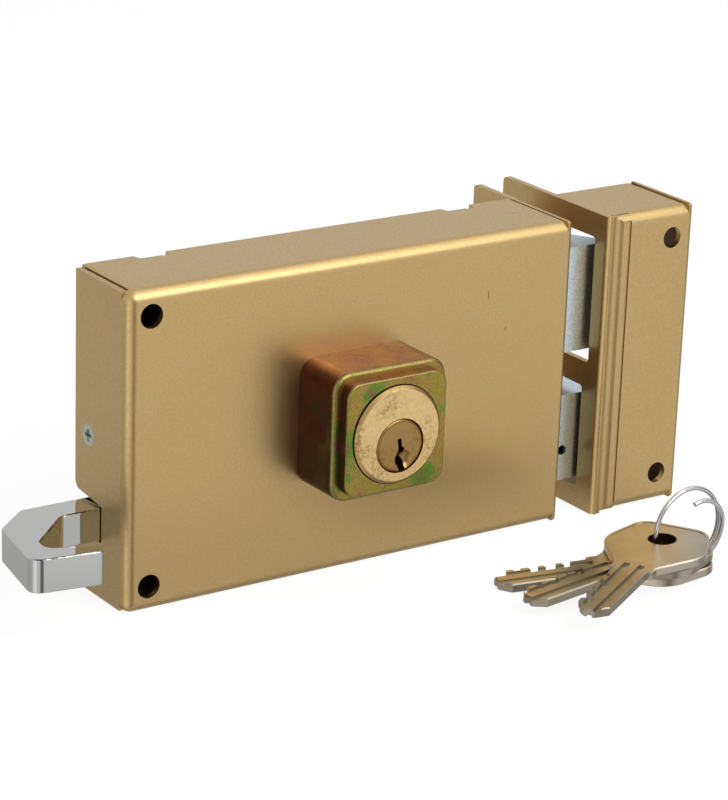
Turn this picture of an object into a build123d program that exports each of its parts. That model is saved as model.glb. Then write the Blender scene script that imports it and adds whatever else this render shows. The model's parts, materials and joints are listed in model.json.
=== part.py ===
from build123d import *
import math
import os

# Rim box lock with its keeper, three keys and their ring.
# X runs along the lock from the pull to the keeper, Y from the room to the door, Z up.
# The origin is on the door-side face, midway between the two case screw holes.
# Lengths are millimetres and angles are degrees.

# Case
case_length = 120.0
case_height = 75.0
case_depth = 23.2
sheet = 1.5
bend_radius = 2.7
fold_radius = 1.4
left_wall_step = 0.5
wall_corner = 0.8
wall_slit = 0.3
flange_reach = 14.6
flange_corner = 1.2
flange_hole_radius = 2.3
flange_hole_height = 24.0
case_hole_inset_x = 6.0
case_hole_inset_z = 6.1
case_hole_radius = 2.8
notch_inset_left = 14.7
notch_inset_right = 13.6
notch_length = 8.3
notch_depth = 2.6
notch_slope = 0.8
cut_over = 5.0

# Clearances
slide_clear = 0.3
turn_clear = 0.05
layer_gap = 0.4

# Back plate and the screw in the left wall
plate_thickness = 1.5
plate_gap = 0.2
tab_drop = 0.75
ear_thickness = 2.5
ear_width = 9.0
ear_reach = 8.5
tail_hole_radius = 5.5
pull_relief = 5.0
side_screw_inset_y = 17.0
side_screw_height = 37.4
side_screw_head_radius = 2.6
side_screw_shank_radius = 1.9
side_screw_head_depth = 1.1
side_screw_length = 7.5
cross_width = 0.75
cross_length = 2.8
cross_depth = 1.0

# Cylinder housing
backset = 60.4
cylinder_rise = 0.5
housing_side = 30.4
housing_corner = 4.5
housing_depth = 13.9
housing_front_round = 1.0
housing_face_side = 26.8
housing_face_corner = 3.6
housing_face_step = 2.9
housing_face_round = 0.4
housing_bore_gap = 0.1
housing_screw_offset = 12.0
housing_screw_radius = 1.5
housing_screw_head_radius = 2.6
housing_screw_head_depth = 1.8
housing_screw_reach = 9.0

# Cylinder
cylinder_radius = 11.65
cylinder_length = 27.0
cylinder_proud = 1.1
cylinder_chamfer = 0.9
cylinder_tilt = 8.0
plug_offset = 2.5
plug_radius = 6.35
plug_chamfer = 0.5
plug_tail_radius = 4.0
plug_tail_flat = 2.6
nut_radius = 14.0
nut_length = 4.0
keyway_end = 4.0
scoop_radius = 3.3
scoop_lift = 2.4
scoop_side = 0.5
scoop_drop = 3.6
pin_count = 5
pin_first = 5.5
pin_pitch = 4.0
pin_radius = 1.3
pin_bore_gap = 0.05
pin_flat_drop = 0.2
pin_point = 0.5
pin_chamber_depth = 7.5
driver_length = 3.4
pin_spring_length = 3.4
pin_spring_wall = 0.35
chamber_plug_length = 1.1
chamber_crown = 0.15
key_pin_shares = [0.80, 0.92, 0.84, 1.00, 0.88]
key_pin_length = 6.9

# Cam on the plug's tail
cam_gap = 0.3
cam_thickness = 2.4
cam_hub_radius = 7.0
cam_reach = 13.05
cam_width = 3.0
cam_swing = 100.0
clip_radius = 5.5
clip_thickness = 1.0

# Dead bolt
dead_throw = 20.0
bolt_gap = 11.4
dead_lift = 7.4
dead_thickness = 10.8
dead_inset_y = 6.2
dead_out = 20.0
dead_back = 22.0
dead_round = 0.8
dead_mark_radius = 1.25
dead_mark_depth = 3.0
dead_mark_out = 5.2
dead_mark_lift = 7.7
dead_tongue = 7.0
dead_tongue_inset = 1.6
tail_inset_y = 9.7
tail_thickness = 3.0
tail_length = 42.0
tail_lift = 8.5
tail_notch_gap = 0.6
tail_notch_half = 3.7
tail_notch_extra = 0.8
rivet_radius = 1.5
rivet_spread_share = 0.57

# Latch bolt
latch_throw = 15.0
latch_height = 26.1
latch_drop = 8.2
latch_thickness = 10.0
latch_inset_y = 5.0
latch_back = 16.0
latch_nose = 2.0
latch_bevel = 5.0
latch_round = 0.7
latch_tongue = 8.0
latch_tongue_height = 11.0

# Slide that joins the latch to the pull
slide_thickness = 1.5
slide_left = 17.0
slide_leg_width = 10.0
slide_arm_height = 12.5
slide_arm_rise = 8.8
slide_corner = 5.0

# Pull
pull_height = 7.9
pull_lift = 14.1
pull_depth = 7.7
pull_inside = 26.0
pull_reach = 28.1
pull_back_corner = 16.0
pull_corner_depth = 7.6
pull_front_y = 29.9
pull_end_x = 11.6
pull_end_thickness = 3.0
pull_front_slant = 2.4
pull_front_thickness = 5.0
pull_gap_left = 21.3
pull_gap_depth = 11.0
pull_gap_back_left = 10.0
pull_nose_round = 3.0
pull_back_round = 1.2
pull_end_round = 0.9
pull_gap_round = 2.4
pull_edge_round = 0.8
pull_slot_gap = 0.35
pull_slot_rise = 1.2
pull_slot_round = 2.0
pull_pin_radius = 2.0
slide_pin_radius = 1.3
slide_pin_offset = 8.2
slide_pin_rise = 2.3

# Posts and spring
post_radius = 2.0
post_base_radius = 3.2
post_screw_radius = 1.2
post_screw_length = 5.0
post_head_height = 1.2
tail_post_inset = 56.0
tail_post_rise = 5.0
slide_post_left_x = 28.0
slide_post_right_inset = 48.0
slide_post_rise = 6.75
slot_spare = 0.5
bracket_inset = 44.0
bracket_thickness = 2.0
bracket_width = 7.0
bracket_foot = 7.0
spring_axis_y = 10.0
spring_radius = 3.0
spring_bore = 2.0
rod_radius = 1.6
rod_entry = 3.0
rod_bore_depth = 19.0
rod_bore_radius = 2.0

# Lever that lets the key draw the latch
lever_thickness = 1.5
lever_width = 6.4
lever_pivot_drop = 4.0
lever_pivot_radius = 1.8
lever_head_radius = 2.5
lever_head_height = 1.2
lever_slot_spare = 0.6
lever_tab_reach = 5.2
lever_tab_lift = 3.1
lever_tab_height = 3.1
leaf_thickness = 0.6
leaf_start_inset = 61.0
leaf_end_inset = 44.0

# Keeper
keeper_gap = 9.4
keeper_width = 26.0
keeper_depth = 22.8
keeper_forward = 1.7
keeper_flange = 19.4
strike_bend = 1.7
strike_groove_x = 2.7
strike_groove_radius = 3.0
strike_groove_depth = 0.5
strike_groove_round = 0.8
strip_width = 7.0
strip_edge_round = 1.1
strip_raise = 0.4
strip_end_round = 2.2
keeper_hole_inset_x = 6.3
keeper_hole_inset_z = 7.5
keeper_hole_radius = 2.6
window_round = 1.0
upper_window_below = 3.1
upper_window_above = 2.2
upper_window_inset = 5.1
lower_window_below = 1.9
lower_window_above = 2.1
lower_window_inset = 6.9
window_depth = 14.0
keeper_wall_lip = 0.3
jamb_hole_height = 18.0

# Keys, their stack and ring
key_thickness = 2.2
key_gap = 0.15
key_head_width = 26.2
key_head_end_width = 17.0
key_head_shoulder = 5.0
key_head_side_round = 8.0
key_head_end_round = 5.0
key_rim_width = 1.0
key_rim_depth = 0.15
key_hole_radius = 3.3
key_end_inset = 8.6
key_neck = 13.5
key_tip_reach = 42.2
key_blade_width = 8.0
key_shoulder_width = 10.4
key_shoulder_length = 5.0
key_tip_chamfer = 2.6
key_edge_chamfer = 0.3
key_groove_width = 1.5
key_groove_depth = 0.6
key_groove_offset = 1.8
key_cut_pitch = 4.0
key_cut_start = 5.5
key_cut_flat = 0.7
key_cut_flare = 1.3
key_cut_depth = 3.0
key_cut_shares = [[0.55, 0.95, 0.7, 0.4, 0.85], [0.8, 0.45, 1.0, 0.6, 0.5], [0.4, 0.75, 0.5, 0.95, 0.65]]
key_headings = [163.0, 184.4, 208.6]
key_tilt = 3.3
key_stack_lift = 2.5
key_hole_shifts = [1.3, 1.9, 1.7]
ring_radius = 9.6
ring_wire = 0.55
ring_pitch = 1.6
ring_lead_radius = 6.4
ring_lead_turn = 112.0
ring_tail_turn = 72.0
half_turn = 180.0
ring_x = 127.6
ring_y = 40.2

# Datum planes of the case
left = -case_hole_inset_x
right = left + case_length
front = -case_depth
bottom = -case_height / 2
top = case_height / 2
cylinder_x = right - backset
cylinder_z = cylinder_rise
tilt = math.radians(cylinder_tilt)
plug_x = cylinder_x + plug_offset * math.sin(tilt)
plug_z = cylinder_z - plug_offset * math.cos(tilt)
housing_face_y = front - housing_depth - housing_face_step
cylinder_front = housing_face_y - cylinder_proud
cylinder_rear = cylinder_front + cylinder_length
cam_front = cylinder_rear + cam_gap
tail_front = front + tail_inset_y
tail_rear = tail_front + tail_thickness
tail_top = plug_z - cam_hub_radius - tail_notch_gap
slide_front = tail_front
slide_rear = slide_front + slide_thickness
lever_front = tail_rear + layer_gap
lever_rear = lever_front + lever_thickness
plate_front = -plate_thickness
dead_front = front + dead_inset_y
dead_rear = dead_front + dead_thickness
dead_bottom = bottom + dead_lift
dead_left = right - dead_back
dead_end = right + dead_out
latch_front = front + latch_inset_y
latch_rear = latch_front + latch_thickness
latch_top = top - latch_drop
latch_bottom = latch_top - latch_height
dead_top = latch_bottom - bolt_gap
latch_left = right - latch_back
latch_end = right + latch_throw
arm_bottom = latch_bottom + slide_arm_rise
arm_top = arm_bottom + slide_arm_height
slide_pin_x = plug_x - slide_pin_offset
slide_pin_z = arm_bottom + slide_pin_rise
slide_post_right_x = right - slide_post_right_inset
tail_post_x = right - tail_post_inset
bracket_x = right - bracket_inset
spring_axis_z = arm_bottom - spring_radius - slot_spare
pull_bottom = bottom + pull_lift
pull_top = pull_bottom + pull_height
pull_rear = slide_rear + pull_depth
cam_angle = cam_swing / 2
lever_pivot_x = slide_pin_x - latch_throw / 2
lever_pivot_z = plug_z - lever_pivot_drop
lever_arm = slide_pin_z - lever_pivot_z
lever_lean = math.degrees(math.atan(latch_throw / 2 / lever_arm))
keeper_left = right + keeper_gap
keeper_right = keeper_left + keeper_width
keeper_front = front - keeper_forward
keeper_back = keeper_front + keeper_depth
box_front = keeper_front + strip_raise
strip_right = keeper_left + strip_width


def block(x0, x1, y0, y1, z0, z1):
    """Box between two corners."""
    return Pos((x0 + x1) / 2, (y0 + y1) / 2, (z0 + z1) / 2) * Box(x1 - x0, y1 - y0, z1 - z0)


def rod_x(y, z, radius, x0, x1):
    """Round bar along X."""
    return Pos((x0 + x1) / 2, y, z) * Rot(0, 90, 0) * Cylinder(radius, x1 - x0)


def rod_y(x, z, radius, y0, y1):
    """Round bar along Y."""
    return Pos(x, (y0 + y1) / 2, z) * Rot(90, 0, 0) * Cylinder(radius, y1 - y0)


def rod_z(x, y, radius, z0, z1):
    """Round bar along Z."""
    return Pos(x, y, (z0 + z1) / 2) * Cylinder(radius, z1 - z0)


def slot_y(x0, x1, z, radius, y0, y1):
    """Slot along X with round ends, cut along Y."""
    ends = rod_y(x0, z, radius, y0, y1) + rod_y(x1, z, radius, y0, y1)
    return ends + block(x0, x1, y0, y1, z - radius, z + radius)


def plate_y(points, y0, y1):
    """Plate with an outline in X and Z, between two Y planes."""
    outline = Face(Wire.make_polygon([(x, y0, z) for x, z in points], close=True))
    return extrude(outline, amount=y1 - y0, dir=(0, 1, 0))


def plate_x(points, x0, x1):
    """Plate with an outline in Y and Z, between two X planes."""
    outline = Face(Wire.make_polygon([(x0, y, z) for y, z in points], close=True))
    return extrude(outline, amount=x1 - x0, dir=(1, 0, 0))


def plate_z(points, z0, z1):
    """Plate with an outline in X and Y, between two Z planes."""
    outline = Face(Wire.make_polygon([(x, y, z0) for x, y in points], close=True))
    return extrude(outline, amount=z1 - z0, dir=(0, 0, 1))


def square_y(side, corner, y0, y1):
    """Rounded square block about the cylinder's axis."""
    outline = Plane(origin=(cylinder_x, y0, cylinder_z), x_dir=(1, 0, 0), z_dir=(0, 1, 0))
    return extrude(outline * RectangleRounded(side, side, corner), amount=y1 - y0)


def edges_near(shape, axis, **place):
    """Edges along an axis whose centres lie at the given coordinates."""
    found = shape.edges().filter_by(axis)
    for name, value in place.items():
        found = found.filter_by(lambda edge: abs(getattr(edge.center(), name) - value) < sheet / 10)
    return found


def bend_front(shape, x0, x1, y, z0, z1, left_radius, right_radius, flat_radius):
    """Round the four bends round a front face."""
    if left_radius > 0:
        shape = fillet(edges_near(shape, Axis.Z, X=x0, Y=y), left_radius)
    shape = fillet(edges_near(shape, Axis.Z, X=x1, Y=y), right_radius)
    edges = shape.edges().filter_by(lambda e: abs(e.center().Y - y) < sheet / 10)
    ends = edges.filter_by(lambda e: min(abs(e.center().Z - z0), abs(e.center().Z - z1)) < sheet / 10)
    return fillet(ends, flat_radius)


def end_wall(x1, y0, y1, z0, z1):
    """Folded right-hand wall whose front corners stay nearly square."""
    wall = block(x1 - sheet, x1, y0, y1, z0, z1)
    wall = fillet(edges_near(wall, Axis.Z, X=x1, Y=y0), fold_radius)
    return fillet(edges_near(wall, Axis.X, Y=y0), wall_corner)


def side_screw():
    """Countersunk cross-head screw through the left wall."""
    y = front + side_screw_inset_y
    z = bottom + side_screw_height
    cone = Pos(left + side_screw_head_depth / 2, y, z) * Rot(0, 90, 0) * Cone(
        side_screw_head_radius, side_screw_shank_radius, side_screw_head_depth)
    return cone + rod_x(y, z, side_screw_shank_radius, left, left + side_screw_length)


def cross_recess():
    """Cross recess in the side screw's head."""
    y = front + side_screw_inset_y
    z = bottom + side_screw_height
    deep = left + cross_depth
    out = left - cut_over
    long, wide = cross_length / 2, cross_width / 2
    return block(out, deep, y - long, y + long, z - wide, z + wide) + block(
        out, deep, y - wide, y + wide, z - long, z + long)


def notch_spans():
    """Start and end of the two back-edge notches along X."""
    second = right - notch_inset_right - notch_length
    first = left + notch_inset_left
    return [(first, first + notch_length), (second, second + notch_length)]


def housing_screw_places():
    """Centres of the four housing screws."""
    step = housing_screw_offset
    return [(cylinder_x + a * step, cylinder_z + b * step) for a in (-1, 1) for b in (-1, 1)]


def pull_slot_outline():
    """Slot for the pull in Y and Z, open at the back, its upper edge rising to the back."""
    y0 = slide_rear - pull_slot_gap
    z0 = pull_bottom - pull_slot_gap
    z1 = pull_top + pull_slot_gap
    return [(y0, z0), (y0, z1), (0, z1 + pull_slot_rise), (cut_over, z1 + pull_slot_rise), (cut_over, z0)]


def pull_slot_bounds(z):
    """True for a height at the back end of the pull's slot."""
    low = pull_bottom - pull_slot_gap
    high = pull_top + pull_slot_gap + pull_slot_rise
    return abs(z - low) < sheet / 10 or abs(z - high) < sheet / 10


def make_case_cover():
    """Folded sheet case, open at the back, with the long door-edge flange."""
    outer = block(left, right, front, 0, bottom, top)
    outer = bend_front(outer, left, right, front, bottom, top, bend_radius, fold_radius, bend_radius)
    outer += end_wall(right, front, 0, bottom, top)
    outer += block(left, left + sheet, front + bend_radius, 0, bottom, top)
    inside = block(left + sheet, right - sheet, front + sheet, cut_over, bottom + sheet, top - sheet)
    inside = fillet(edges_near(inside, Axis.Z, X=left + sheet, Y=front + sheet), bend_radius - sheet)
    cover = outer - inside
    cover += block(right - sheet, right, -sheet, flange_reach, bottom, top)
    cover = fillet(edges_near(cover, Axis.X, Y=flange_reach), flange_corner)
    cover -= block(left - cut_over, left + sheet, -left_wall_step, cut_over, bottom, top)
    for side in (-1, 1):
        edge = side * top
        deep = side * (top - sheet - wall_slit)
        low, high = min(edge, deep), max(edge, deep)
        cover -= block(left + sheet, left + sheet + wall_slit, front + bend_radius, cut_over, low, high)
        step = side * (top - left_wall_step)
        low, high = min(edge, step), max(edge, step)
        cover -= block(left - cut_over, left + sheet, front + bend_radius, cut_over, low, high)
        seam = side * (top - sheet)
        low, high = min(edge, seam), max(edge, seam)
        cover -= block(right - sheet - plate_gap, right - sheet, front + bend_radius, cut_over, low, high)
        for x0, x1 in notch_spans():
            shape = [(x0, cut_over), (x0, 0), (x0 + notch_slope, -notch_depth)]
            shape += [(x1 - notch_slope / 2, -notch_depth), (x1, 0), (x1, cut_over)]
            cover -= plate_z(shape, low, high)
    hole_z = top - case_hole_inset_z
    for z in (-hole_z, hole_z):
        cover -= rod_y(0, z, case_hole_radius, front - cut_over, front + sheet + cut_over)
    for z in (-flange_hole_height, flange_hole_height):
        cover -= rod_x(flange_reach / 2, z, flange_hole_radius, right - cut_over, right + cut_over)
    bore = cylinder_radius + housing_bore_gap
    cover -= rod_y(cylinder_x, cylinder_z, bore, front - cut_over, front + cut_over)
    for x, z in housing_screw_places():
        cover -= rod_y(x, z, housing_screw_radius, front - cut_over, front + cut_over)
    cover -= side_screw()
    cover -= plate_x(pull_slot_outline(), left - cut_over, left + sheet + cut_over)
    corners = edges_near(cover, Axis.X, Y=-left_wall_step).filter_by(lambda e: pull_slot_bounds(e.center().Z))
    cover = fillet(corners, pull_slot_round)
    for y0, y1, z0, z1 in ((latch_front, latch_rear, latch_bottom, latch_top),
                           (dead_front, dead_rear, dead_bottom, dead_top)):
        cover -= block(right - sheet - cut_over, right + cut_over, y0 - slide_clear, y1 + slide_clear,
                       z0 - slide_clear, z1 + slide_clear)
    return cover


def make_back_plate():
    """Flat plate that closes the back, with tabs in the notches and an ear for the side screw."""
    gap = sheet + plate_gap
    plate = block(left + gap, right - gap, plate_front, 0, bottom + gap, top - gap)
    for x0, x1 in notch_spans():
        edge = notch_slope + plate_gap
        plate += block(x0 + edge, x1 - edge, plate_front, 0, bottom + tab_drop, top - tab_drop)
    ear_x = left + sheet
    ear_z = bottom + side_screw_height
    plate += block(ear_x, ear_x + ear_thickness, plate_front - ear_reach, 0,
                   ear_z - ear_width / 2, ear_z + ear_width / 2)
    plate -= side_screw()
    plate -= block(left, left + gap + pull_relief, -cut_over, cut_over, pull_bottom - pull_slot_gap,
                   pull_top + pull_slot_gap + pull_slot_rise)
    hole_z = top - case_hole_inset_z
    for z in (-hole_z, hole_z):
        plate -= rod_y(0, z, case_hole_radius, -cut_over, cut_over)
    return plate - rod_y(plug_x, plug_z, tail_hole_radius, -cut_over, cut_over)


def make_housing():
    """Square block round the cylinder with a raised front face."""
    base = square_y(housing_side, housing_corner, front - housing_depth, front)
    base = fillet(base.faces().sort_by(Axis.Y)[0].edges(), housing_front_round)
    face = square_y(housing_face_side, housing_face_corner, housing_face_y, front - housing_depth)
    face = fillet(face.faces().sort_by(Axis.Y)[0].edges(), housing_face_round)
    housing = base + face
    bore = cylinder_radius + housing_bore_gap
    housing -= rod_y(cylinder_x, cylinder_z, bore, housing_face_y - cut_over, front + cut_over)
    for x, z in housing_screw_places():
        housing -= rod_y(x, z, housing_screw_radius, front - housing_screw_reach, front + cut_over)
    return housing


def make_housing_screws():
    """Four screws from inside the case into the housing."""
    screws = []
    seat = front + sheet
    for x, z in housing_screw_places():
        screw = rod_y(x, z, housing_screw_radius, front - housing_screw_reach, seat)
        screws.append(screw + rod_y(x, z, housing_screw_head_radius, seat, seat + housing_screw_head_depth))
    return screws


def tilted(shape):
    """Turn a shape made about the upright plug axis to the cylinder's tilt."""
    return Pos(plug_x, 0, plug_z) * Rot(0, -cylinder_tilt, 0) * shape


def pin_rows():
    """Y place of each pin stack."""
    return [cylinder_front + pin_first + row * pin_pitch for row in range(pin_count)]


def make_cylinder_body():
    """Round brass body, bored off centre for the plug and up for the pin stacks."""
    body = rod_y(0, plug_offset, cylinder_radius, cylinder_front, cylinder_rear)
    rim = body.faces().sort_by(Axis.Y)[0].edges()
    body = chamfer(rim, cylinder_chamfer)
    body -= rod_y(0, 0, plug_radius + turn_clear, cylinder_front - cut_over, cylinder_rear + cut_over)
    crown = plug_offset + cylinder_radius
    for y in pin_rows():
        body -= rod_z(0, y, pin_radius + pin_bore_gap, 0, crown + cut_over)
    return tilted(body)


def keyway_outline():
    """Zigzag profile of the keyway as shares of the plug's radius."""
    right_shares = [(0.08, 0.27), (0.08, -0.05), (0.18, -0.13), (0.12, -0.29), (-0.05, -0.36)]
    right_shares += [(0.05, -0.50), (0.13, -0.64), (0.11, -1.1)]
    left_shares = [(-0.14, -1.1), (-0.16, -0.72), (-0.25, -0.57), (-0.25, -0.38), (-0.09, -0.16)]
    left_shares += [(-0.07, -0.05), (-0.07, 0.27)]
    return [(u * plug_radius, v * plug_radius) for u, v in right_shares + left_shares]


def make_cylinder_plug():
    """Plug with keyway, finger scoop, pin bores and a flatted tail for the cam."""
    plug = rod_y(0, 0, plug_radius, cylinder_front, cylinder_rear)
    plug = chamfer(plug.faces().sort_by(Axis.Y)[0].edges(), plug_chamfer)
    keyway = plate_y(keyway_outline(), cylinder_front - cut_over, cylinder_rear - keyway_end)
    scoop = Pos(scoop_side, cylinder_front - scoop_lift, -scoop_drop) * Sphere(scoop_radius)
    plug = plug - keyway - scoop
    floor = -plug_radius + pin_chamber_depth / 2
    for y in pin_rows():
        plug -= rod_z(0, y, pin_radius + pin_bore_gap, floor, plug_radius + cut_over)
    tail_end = cam_front + cam_thickness + clip_thickness
    return tilted(plug + plug_tail(cylinder_rear, tail_end))


def plug_tail(y0, y1):
    """Round tail of the plug with two flats."""
    return rod_y(0, 0, plug_tail_radius, y0, y1) & block(
        -plug_tail_flat, plug_tail_flat, y0, y1, -plug_tail_radius, plug_tail_radius)


def shear_top():
    """Height of a key pin's top below the shear line."""
    return plug_radius - pin_flat_drop


def make_key_pins():
    """Five key pins, held at the shear line."""
    pins = []
    for y, share in zip(pin_rows(), key_pin_shares):
        foot = shear_top() - key_pin_length * share
        pin = rod_z(0, y, pin_radius, foot, shear_top())
        pin = chamfer(pin.faces().sort_by(Axis.Z)[0].edges(), pin_point)
        pins.append(tilted(pin))
    return pins


def driver_foot():
    """Height of the driver pins' lower faces."""
    return plug_radius + pin_flat_drop


def make_driver_pins():
    """Five driver pins above the shear line."""
    return [tilted(rod_z(0, y, pin_radius, driver_foot(), driver_foot() + driver_length)) for y in pin_rows()]


def make_pin_springs():
    """Five small springs as plain sleeves."""
    springs = []
    z0 = driver_foot() + driver_length
    z1 = z0 + pin_spring_length
    for y in pin_rows():
        sleeve = rod_z(0, y, pin_radius, z0, z1) - rod_z(0, y, pin_radius - pin_spring_wall, z0, z1)
        springs.append(tilted(sleeve))
    return springs


def make_chamber_plugs():
    """Five caps that close the pin chambers."""
    z0 = driver_foot() + driver_length + pin_spring_length
    z1 = min(z0 + chamber_plug_length, plug_offset + cylinder_radius - chamber_crown)
    radius = pin_radius + pin_bore_gap
    return [tilted(rod_z(0, y, radius, z0, z1)) for y in pin_rows()]


def make_cylinder_nut():
    """Ring nut that clamps the cylinder behind the case front."""
    y0 = front + sheet
    nut = rod_y(cylinder_x, cylinder_z, nut_radius, y0, y0 + nut_length)
    bore = cylinder_radius + housing_bore_gap
    return nut - rod_y(cylinder_x, cylinder_z, bore, y0 - cut_over, y0 + nut_length + cut_over)


def make_cam():
    """Hub and bit on the plug's tail, standing at the start of its working swing."""
    y1 = cam_front + cam_thickness
    bit = block(-cam_width / 2, cam_width / 2, cam_front, y1, -cam_reach, 0)
    bit = fillet(edges_near(bit, Axis.Y, Z=-cam_reach), cam_width / 3)
    turned = Rot(0, -cam_angle, 0) * bit
    hub = rod_y(0, 0, cam_hub_radius, cam_front, y1)
    cam = Pos(plug_x, 0, plug_z) * (hub + turned)
    return cam - tilted(plug_tail(cam_front - cut_over, y1 + cut_over))


def make_cam_clip():
    """Clip that keeps the cam on the tail."""
    y0 = cam_front + cam_thickness
    ring = Pos(plug_x, 0, plug_z) * rod_y(0, 0, clip_radius, y0, y0 + clip_thickness)
    return ring - tilted(plug_tail(y0 - cut_over, y0 + clip_thickness + cut_over))


def make_dead_bolt():
    """Square-ended bolt with a stepped tongue for its tail."""
    bolt = block(dead_left, dead_end, dead_front, dead_rear, dead_bottom, dead_top)
    bolt = fillet(bolt.faces().sort_by(Axis.X)[-1].edges(), dead_round)
    tail_bottom = bottom + tail_lift
    bolt += block(dead_left - dead_tongue, dead_left, tail_rear, dead_rear,
                  tail_bottom + dead_tongue_inset, tail_top - dead_tongue_inset)
    for x, z in dead_rivet_places():
        bolt -= rod_y(x, z, rivet_radius, tail_rear - cut_over, dead_rear + cut_over)
    mark_x = right + dead_mark_out
    return bolt - rod_y(mark_x, dead_bottom + dead_mark_lift, dead_mark_radius, dead_front - cut_over,
                        dead_front + dead_mark_depth)


def dead_rivet_places():
    """Centres of the two rivets in the dead bolt's tongue."""
    low = bottom + tail_lift + dead_tongue_inset
    high = tail_top - dead_tongue_inset
    middle = (low + high) / 2
    step = rivet_spread_share * (high - low) / 2
    x = dead_left - dead_tongue / 2
    return [(x, middle - step), (x, middle + step)]


def make_dead_bolt_tail():
    """Notched tail plate with the guide slot."""
    tail_bottom = bottom + tail_lift
    tail = block(dead_left - tail_length, dead_left, tail_front, tail_rear, tail_bottom, tail_top)
    notch_x = plug_x + dead_throw / 2
    notch_floor = plug_z - cam_reach - tail_notch_extra
    y0, y1 = tail_front - cut_over, tail_rear + cut_over
    tail -= block(notch_x - tail_notch_half, notch_x + tail_notch_half, y0, y1,
                  notch_floor, tail_top + cut_over)
    tail -= slot_y(tail_post_x - slot_spare, tail_post_x + dead_throw + slot_spare,
                   tail_bottom + tail_post_rise, post_radius + slide_clear, y0, y1)
    for x, z in dead_rivet_places():
        tail -= rod_y(x, z, rivet_radius, tail_front - cut_over, tail_rear + cut_over)
    return tail


def make_dead_bolt_rivets():
    """Two flush rivets that join the tail to the bolt."""
    return [rod_y(x, z, rivet_radius, tail_front, dead_rear) for x, z in dead_rivet_places()]


def latch_rivet_places():
    """Centres of the two rivets in the latch's tongue."""
    middle = (arm_bottom + arm_top) / 2
    x = latch_left - latch_tongue / 2
    half = latch_tongue_height / 4
    return [(x, middle - half), (x, middle + half)]


def make_latch_bolt():
    """Latch with a bevelled back, a tongue for the slide and a bore for the spring rod."""
    outline = [(latch_left, latch_front), (latch_end, latch_front), (latch_end, latch_front + latch_nose)]
    outline += [(latch_end - latch_bevel, latch_rear), (latch_left, latch_rear)]
    bolt = plate_z(outline, latch_bottom, latch_top)
    bolt = fillet(edges_near(bolt, Axis.Z, X=latch_end), latch_round)
    middle = (arm_bottom + arm_top) / 2
    bolt += block(latch_left - latch_tongue, latch_left, slide_rear, latch_rear,
                  middle - latch_tongue_height / 2, middle + latch_tongue_height / 2)
    for x, z in latch_rivet_places():
        bolt -= rod_y(x, z, rivet_radius, slide_rear - cut_over, latch_rear + cut_over)
    y = front + spring_axis_y
    return bolt - rod_x(y, spring_axis_z, rod_bore_radius, latch_left - cut_over, latch_left + rod_bore_depth)


def make_latch_slide():
    """L-shaped plate from the latch down to the pull."""
    x0 = left + slide_left
    x1 = x0 + slide_leg_width
    outline = [(x0, pull_bottom), (x1, pull_bottom), (x1, arm_bottom), (latch_left, arm_bottom)]
    outline += [(latch_left, arm_top), (x0, arm_top)]
    slide = plate_y(outline, slide_front, slide_rear)
    slide = fillet(edges_near(slide, Axis.Y, X=x1, Z=arm_bottom), slide_corner)
    slide = fillet(edges_near(slide, Axis.Y, X=x0, Z=arm_top), slide_corner)
    y0, y1 = slide_front - cut_over, slide_rear + cut_over
    for x in (left + slide_post_left_x, slide_post_right_x):
        slide -= slot_y(x - slot_spare, x + latch_throw + slot_spare, arm_bottom + slide_post_rise,
                        post_radius + slide_clear, y0, y1)
    for x, z in latch_rivet_places():
        slide -= rod_y(x, z, rivet_radius, y0, y1)
    slide -= rod_y(slide_pin_x, slide_pin_z, slide_pin_radius, y0, y1)
    return slide - rod_y(pull_pin_x(), (pull_bottom + pull_top) / 2, pull_pin_radius, y0, y1)


def make_latch_rivets():
    """Two flush rivets that join the slide to the latch."""
    return [rod_y(x, z, rivet_radius, slide_front, latch_rear) for x, z in latch_rivet_places()]


def make_slide_pin():
    """Pin on the slide that works in the lever's slot."""
    return rod_y(slide_pin_x, slide_pin_z, slide_pin_radius, slide_front, lever_rear + layer_gap)


def pull_pin_x():
    """X place of the rivet that joins the pull to the slide."""
    return left + slide_left + (pull_inside - slide_left) / 2


def make_pull_handle():
    """Flat hook with a finger gap between its front bar and the case."""
    inner = left + pull_inside
    tip = left - pull_reach
    front_y = slide_rear + pull_depth - pull_front_y
    shoulder_x = tip + pull_reach / 8
    shoulder_y = pull_rear - pull_corner_depth
    nose_y = front_y + pull_front_slant
    gap_x = left - pull_gap_left
    gap_front = nose_y + pull_front_thickness
    end_x = left - pull_end_x
    outline = [(inner, slide_rear), (inner, pull_rear), (left - pull_back_corner, pull_rear)]
    outline += [(shoulder_x, shoulder_y), (tip, nose_y), (end_x, front_y)]
    outline += [(end_x + pull_edge_round, front_y + pull_end_thickness), (gap_x, gap_front)]
    outline += [(gap_x, slide_rear - pull_gap_depth), (left - pull_gap_back_left, slide_rear)]
    hook = plate_z(outline, pull_bottom, pull_top)
    rounds = [(outline[2], pull_back_round), (outline[3], pull_back_round), (outline[4], pull_nose_round)]
    rounds += [(outline[5], pull_end_round), (outline[6], pull_end_round), (outline[7], pull_gap_round)]
    rounds += [(outline[8], pull_gap_round), (outline[9], pull_gap_round)]
    for (x, y), radius in rounds:
        hook = fillet(edges_near(hook, Axis.Z, X=x, Y=y), radius)
    outside = hook.faces().filter_by(Axis.Z).edges().filter_by(lambda e: e.center().X < left - sheet)
    hook = fillet(outside, pull_edge_round / 2)
    return hook - rod_y(pull_pin_x(), (pull_bottom + pull_top) / 2, pull_pin_radius,
                        slide_rear - cut_over, pull_rear + cut_over)


def make_pull_pin():
    """Flush rivet that joins the pull to the slide."""
    return rod_y(pull_pin_x(), (pull_bottom + pull_top) / 2, pull_pin_radius, slide_front, pull_rear)


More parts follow.
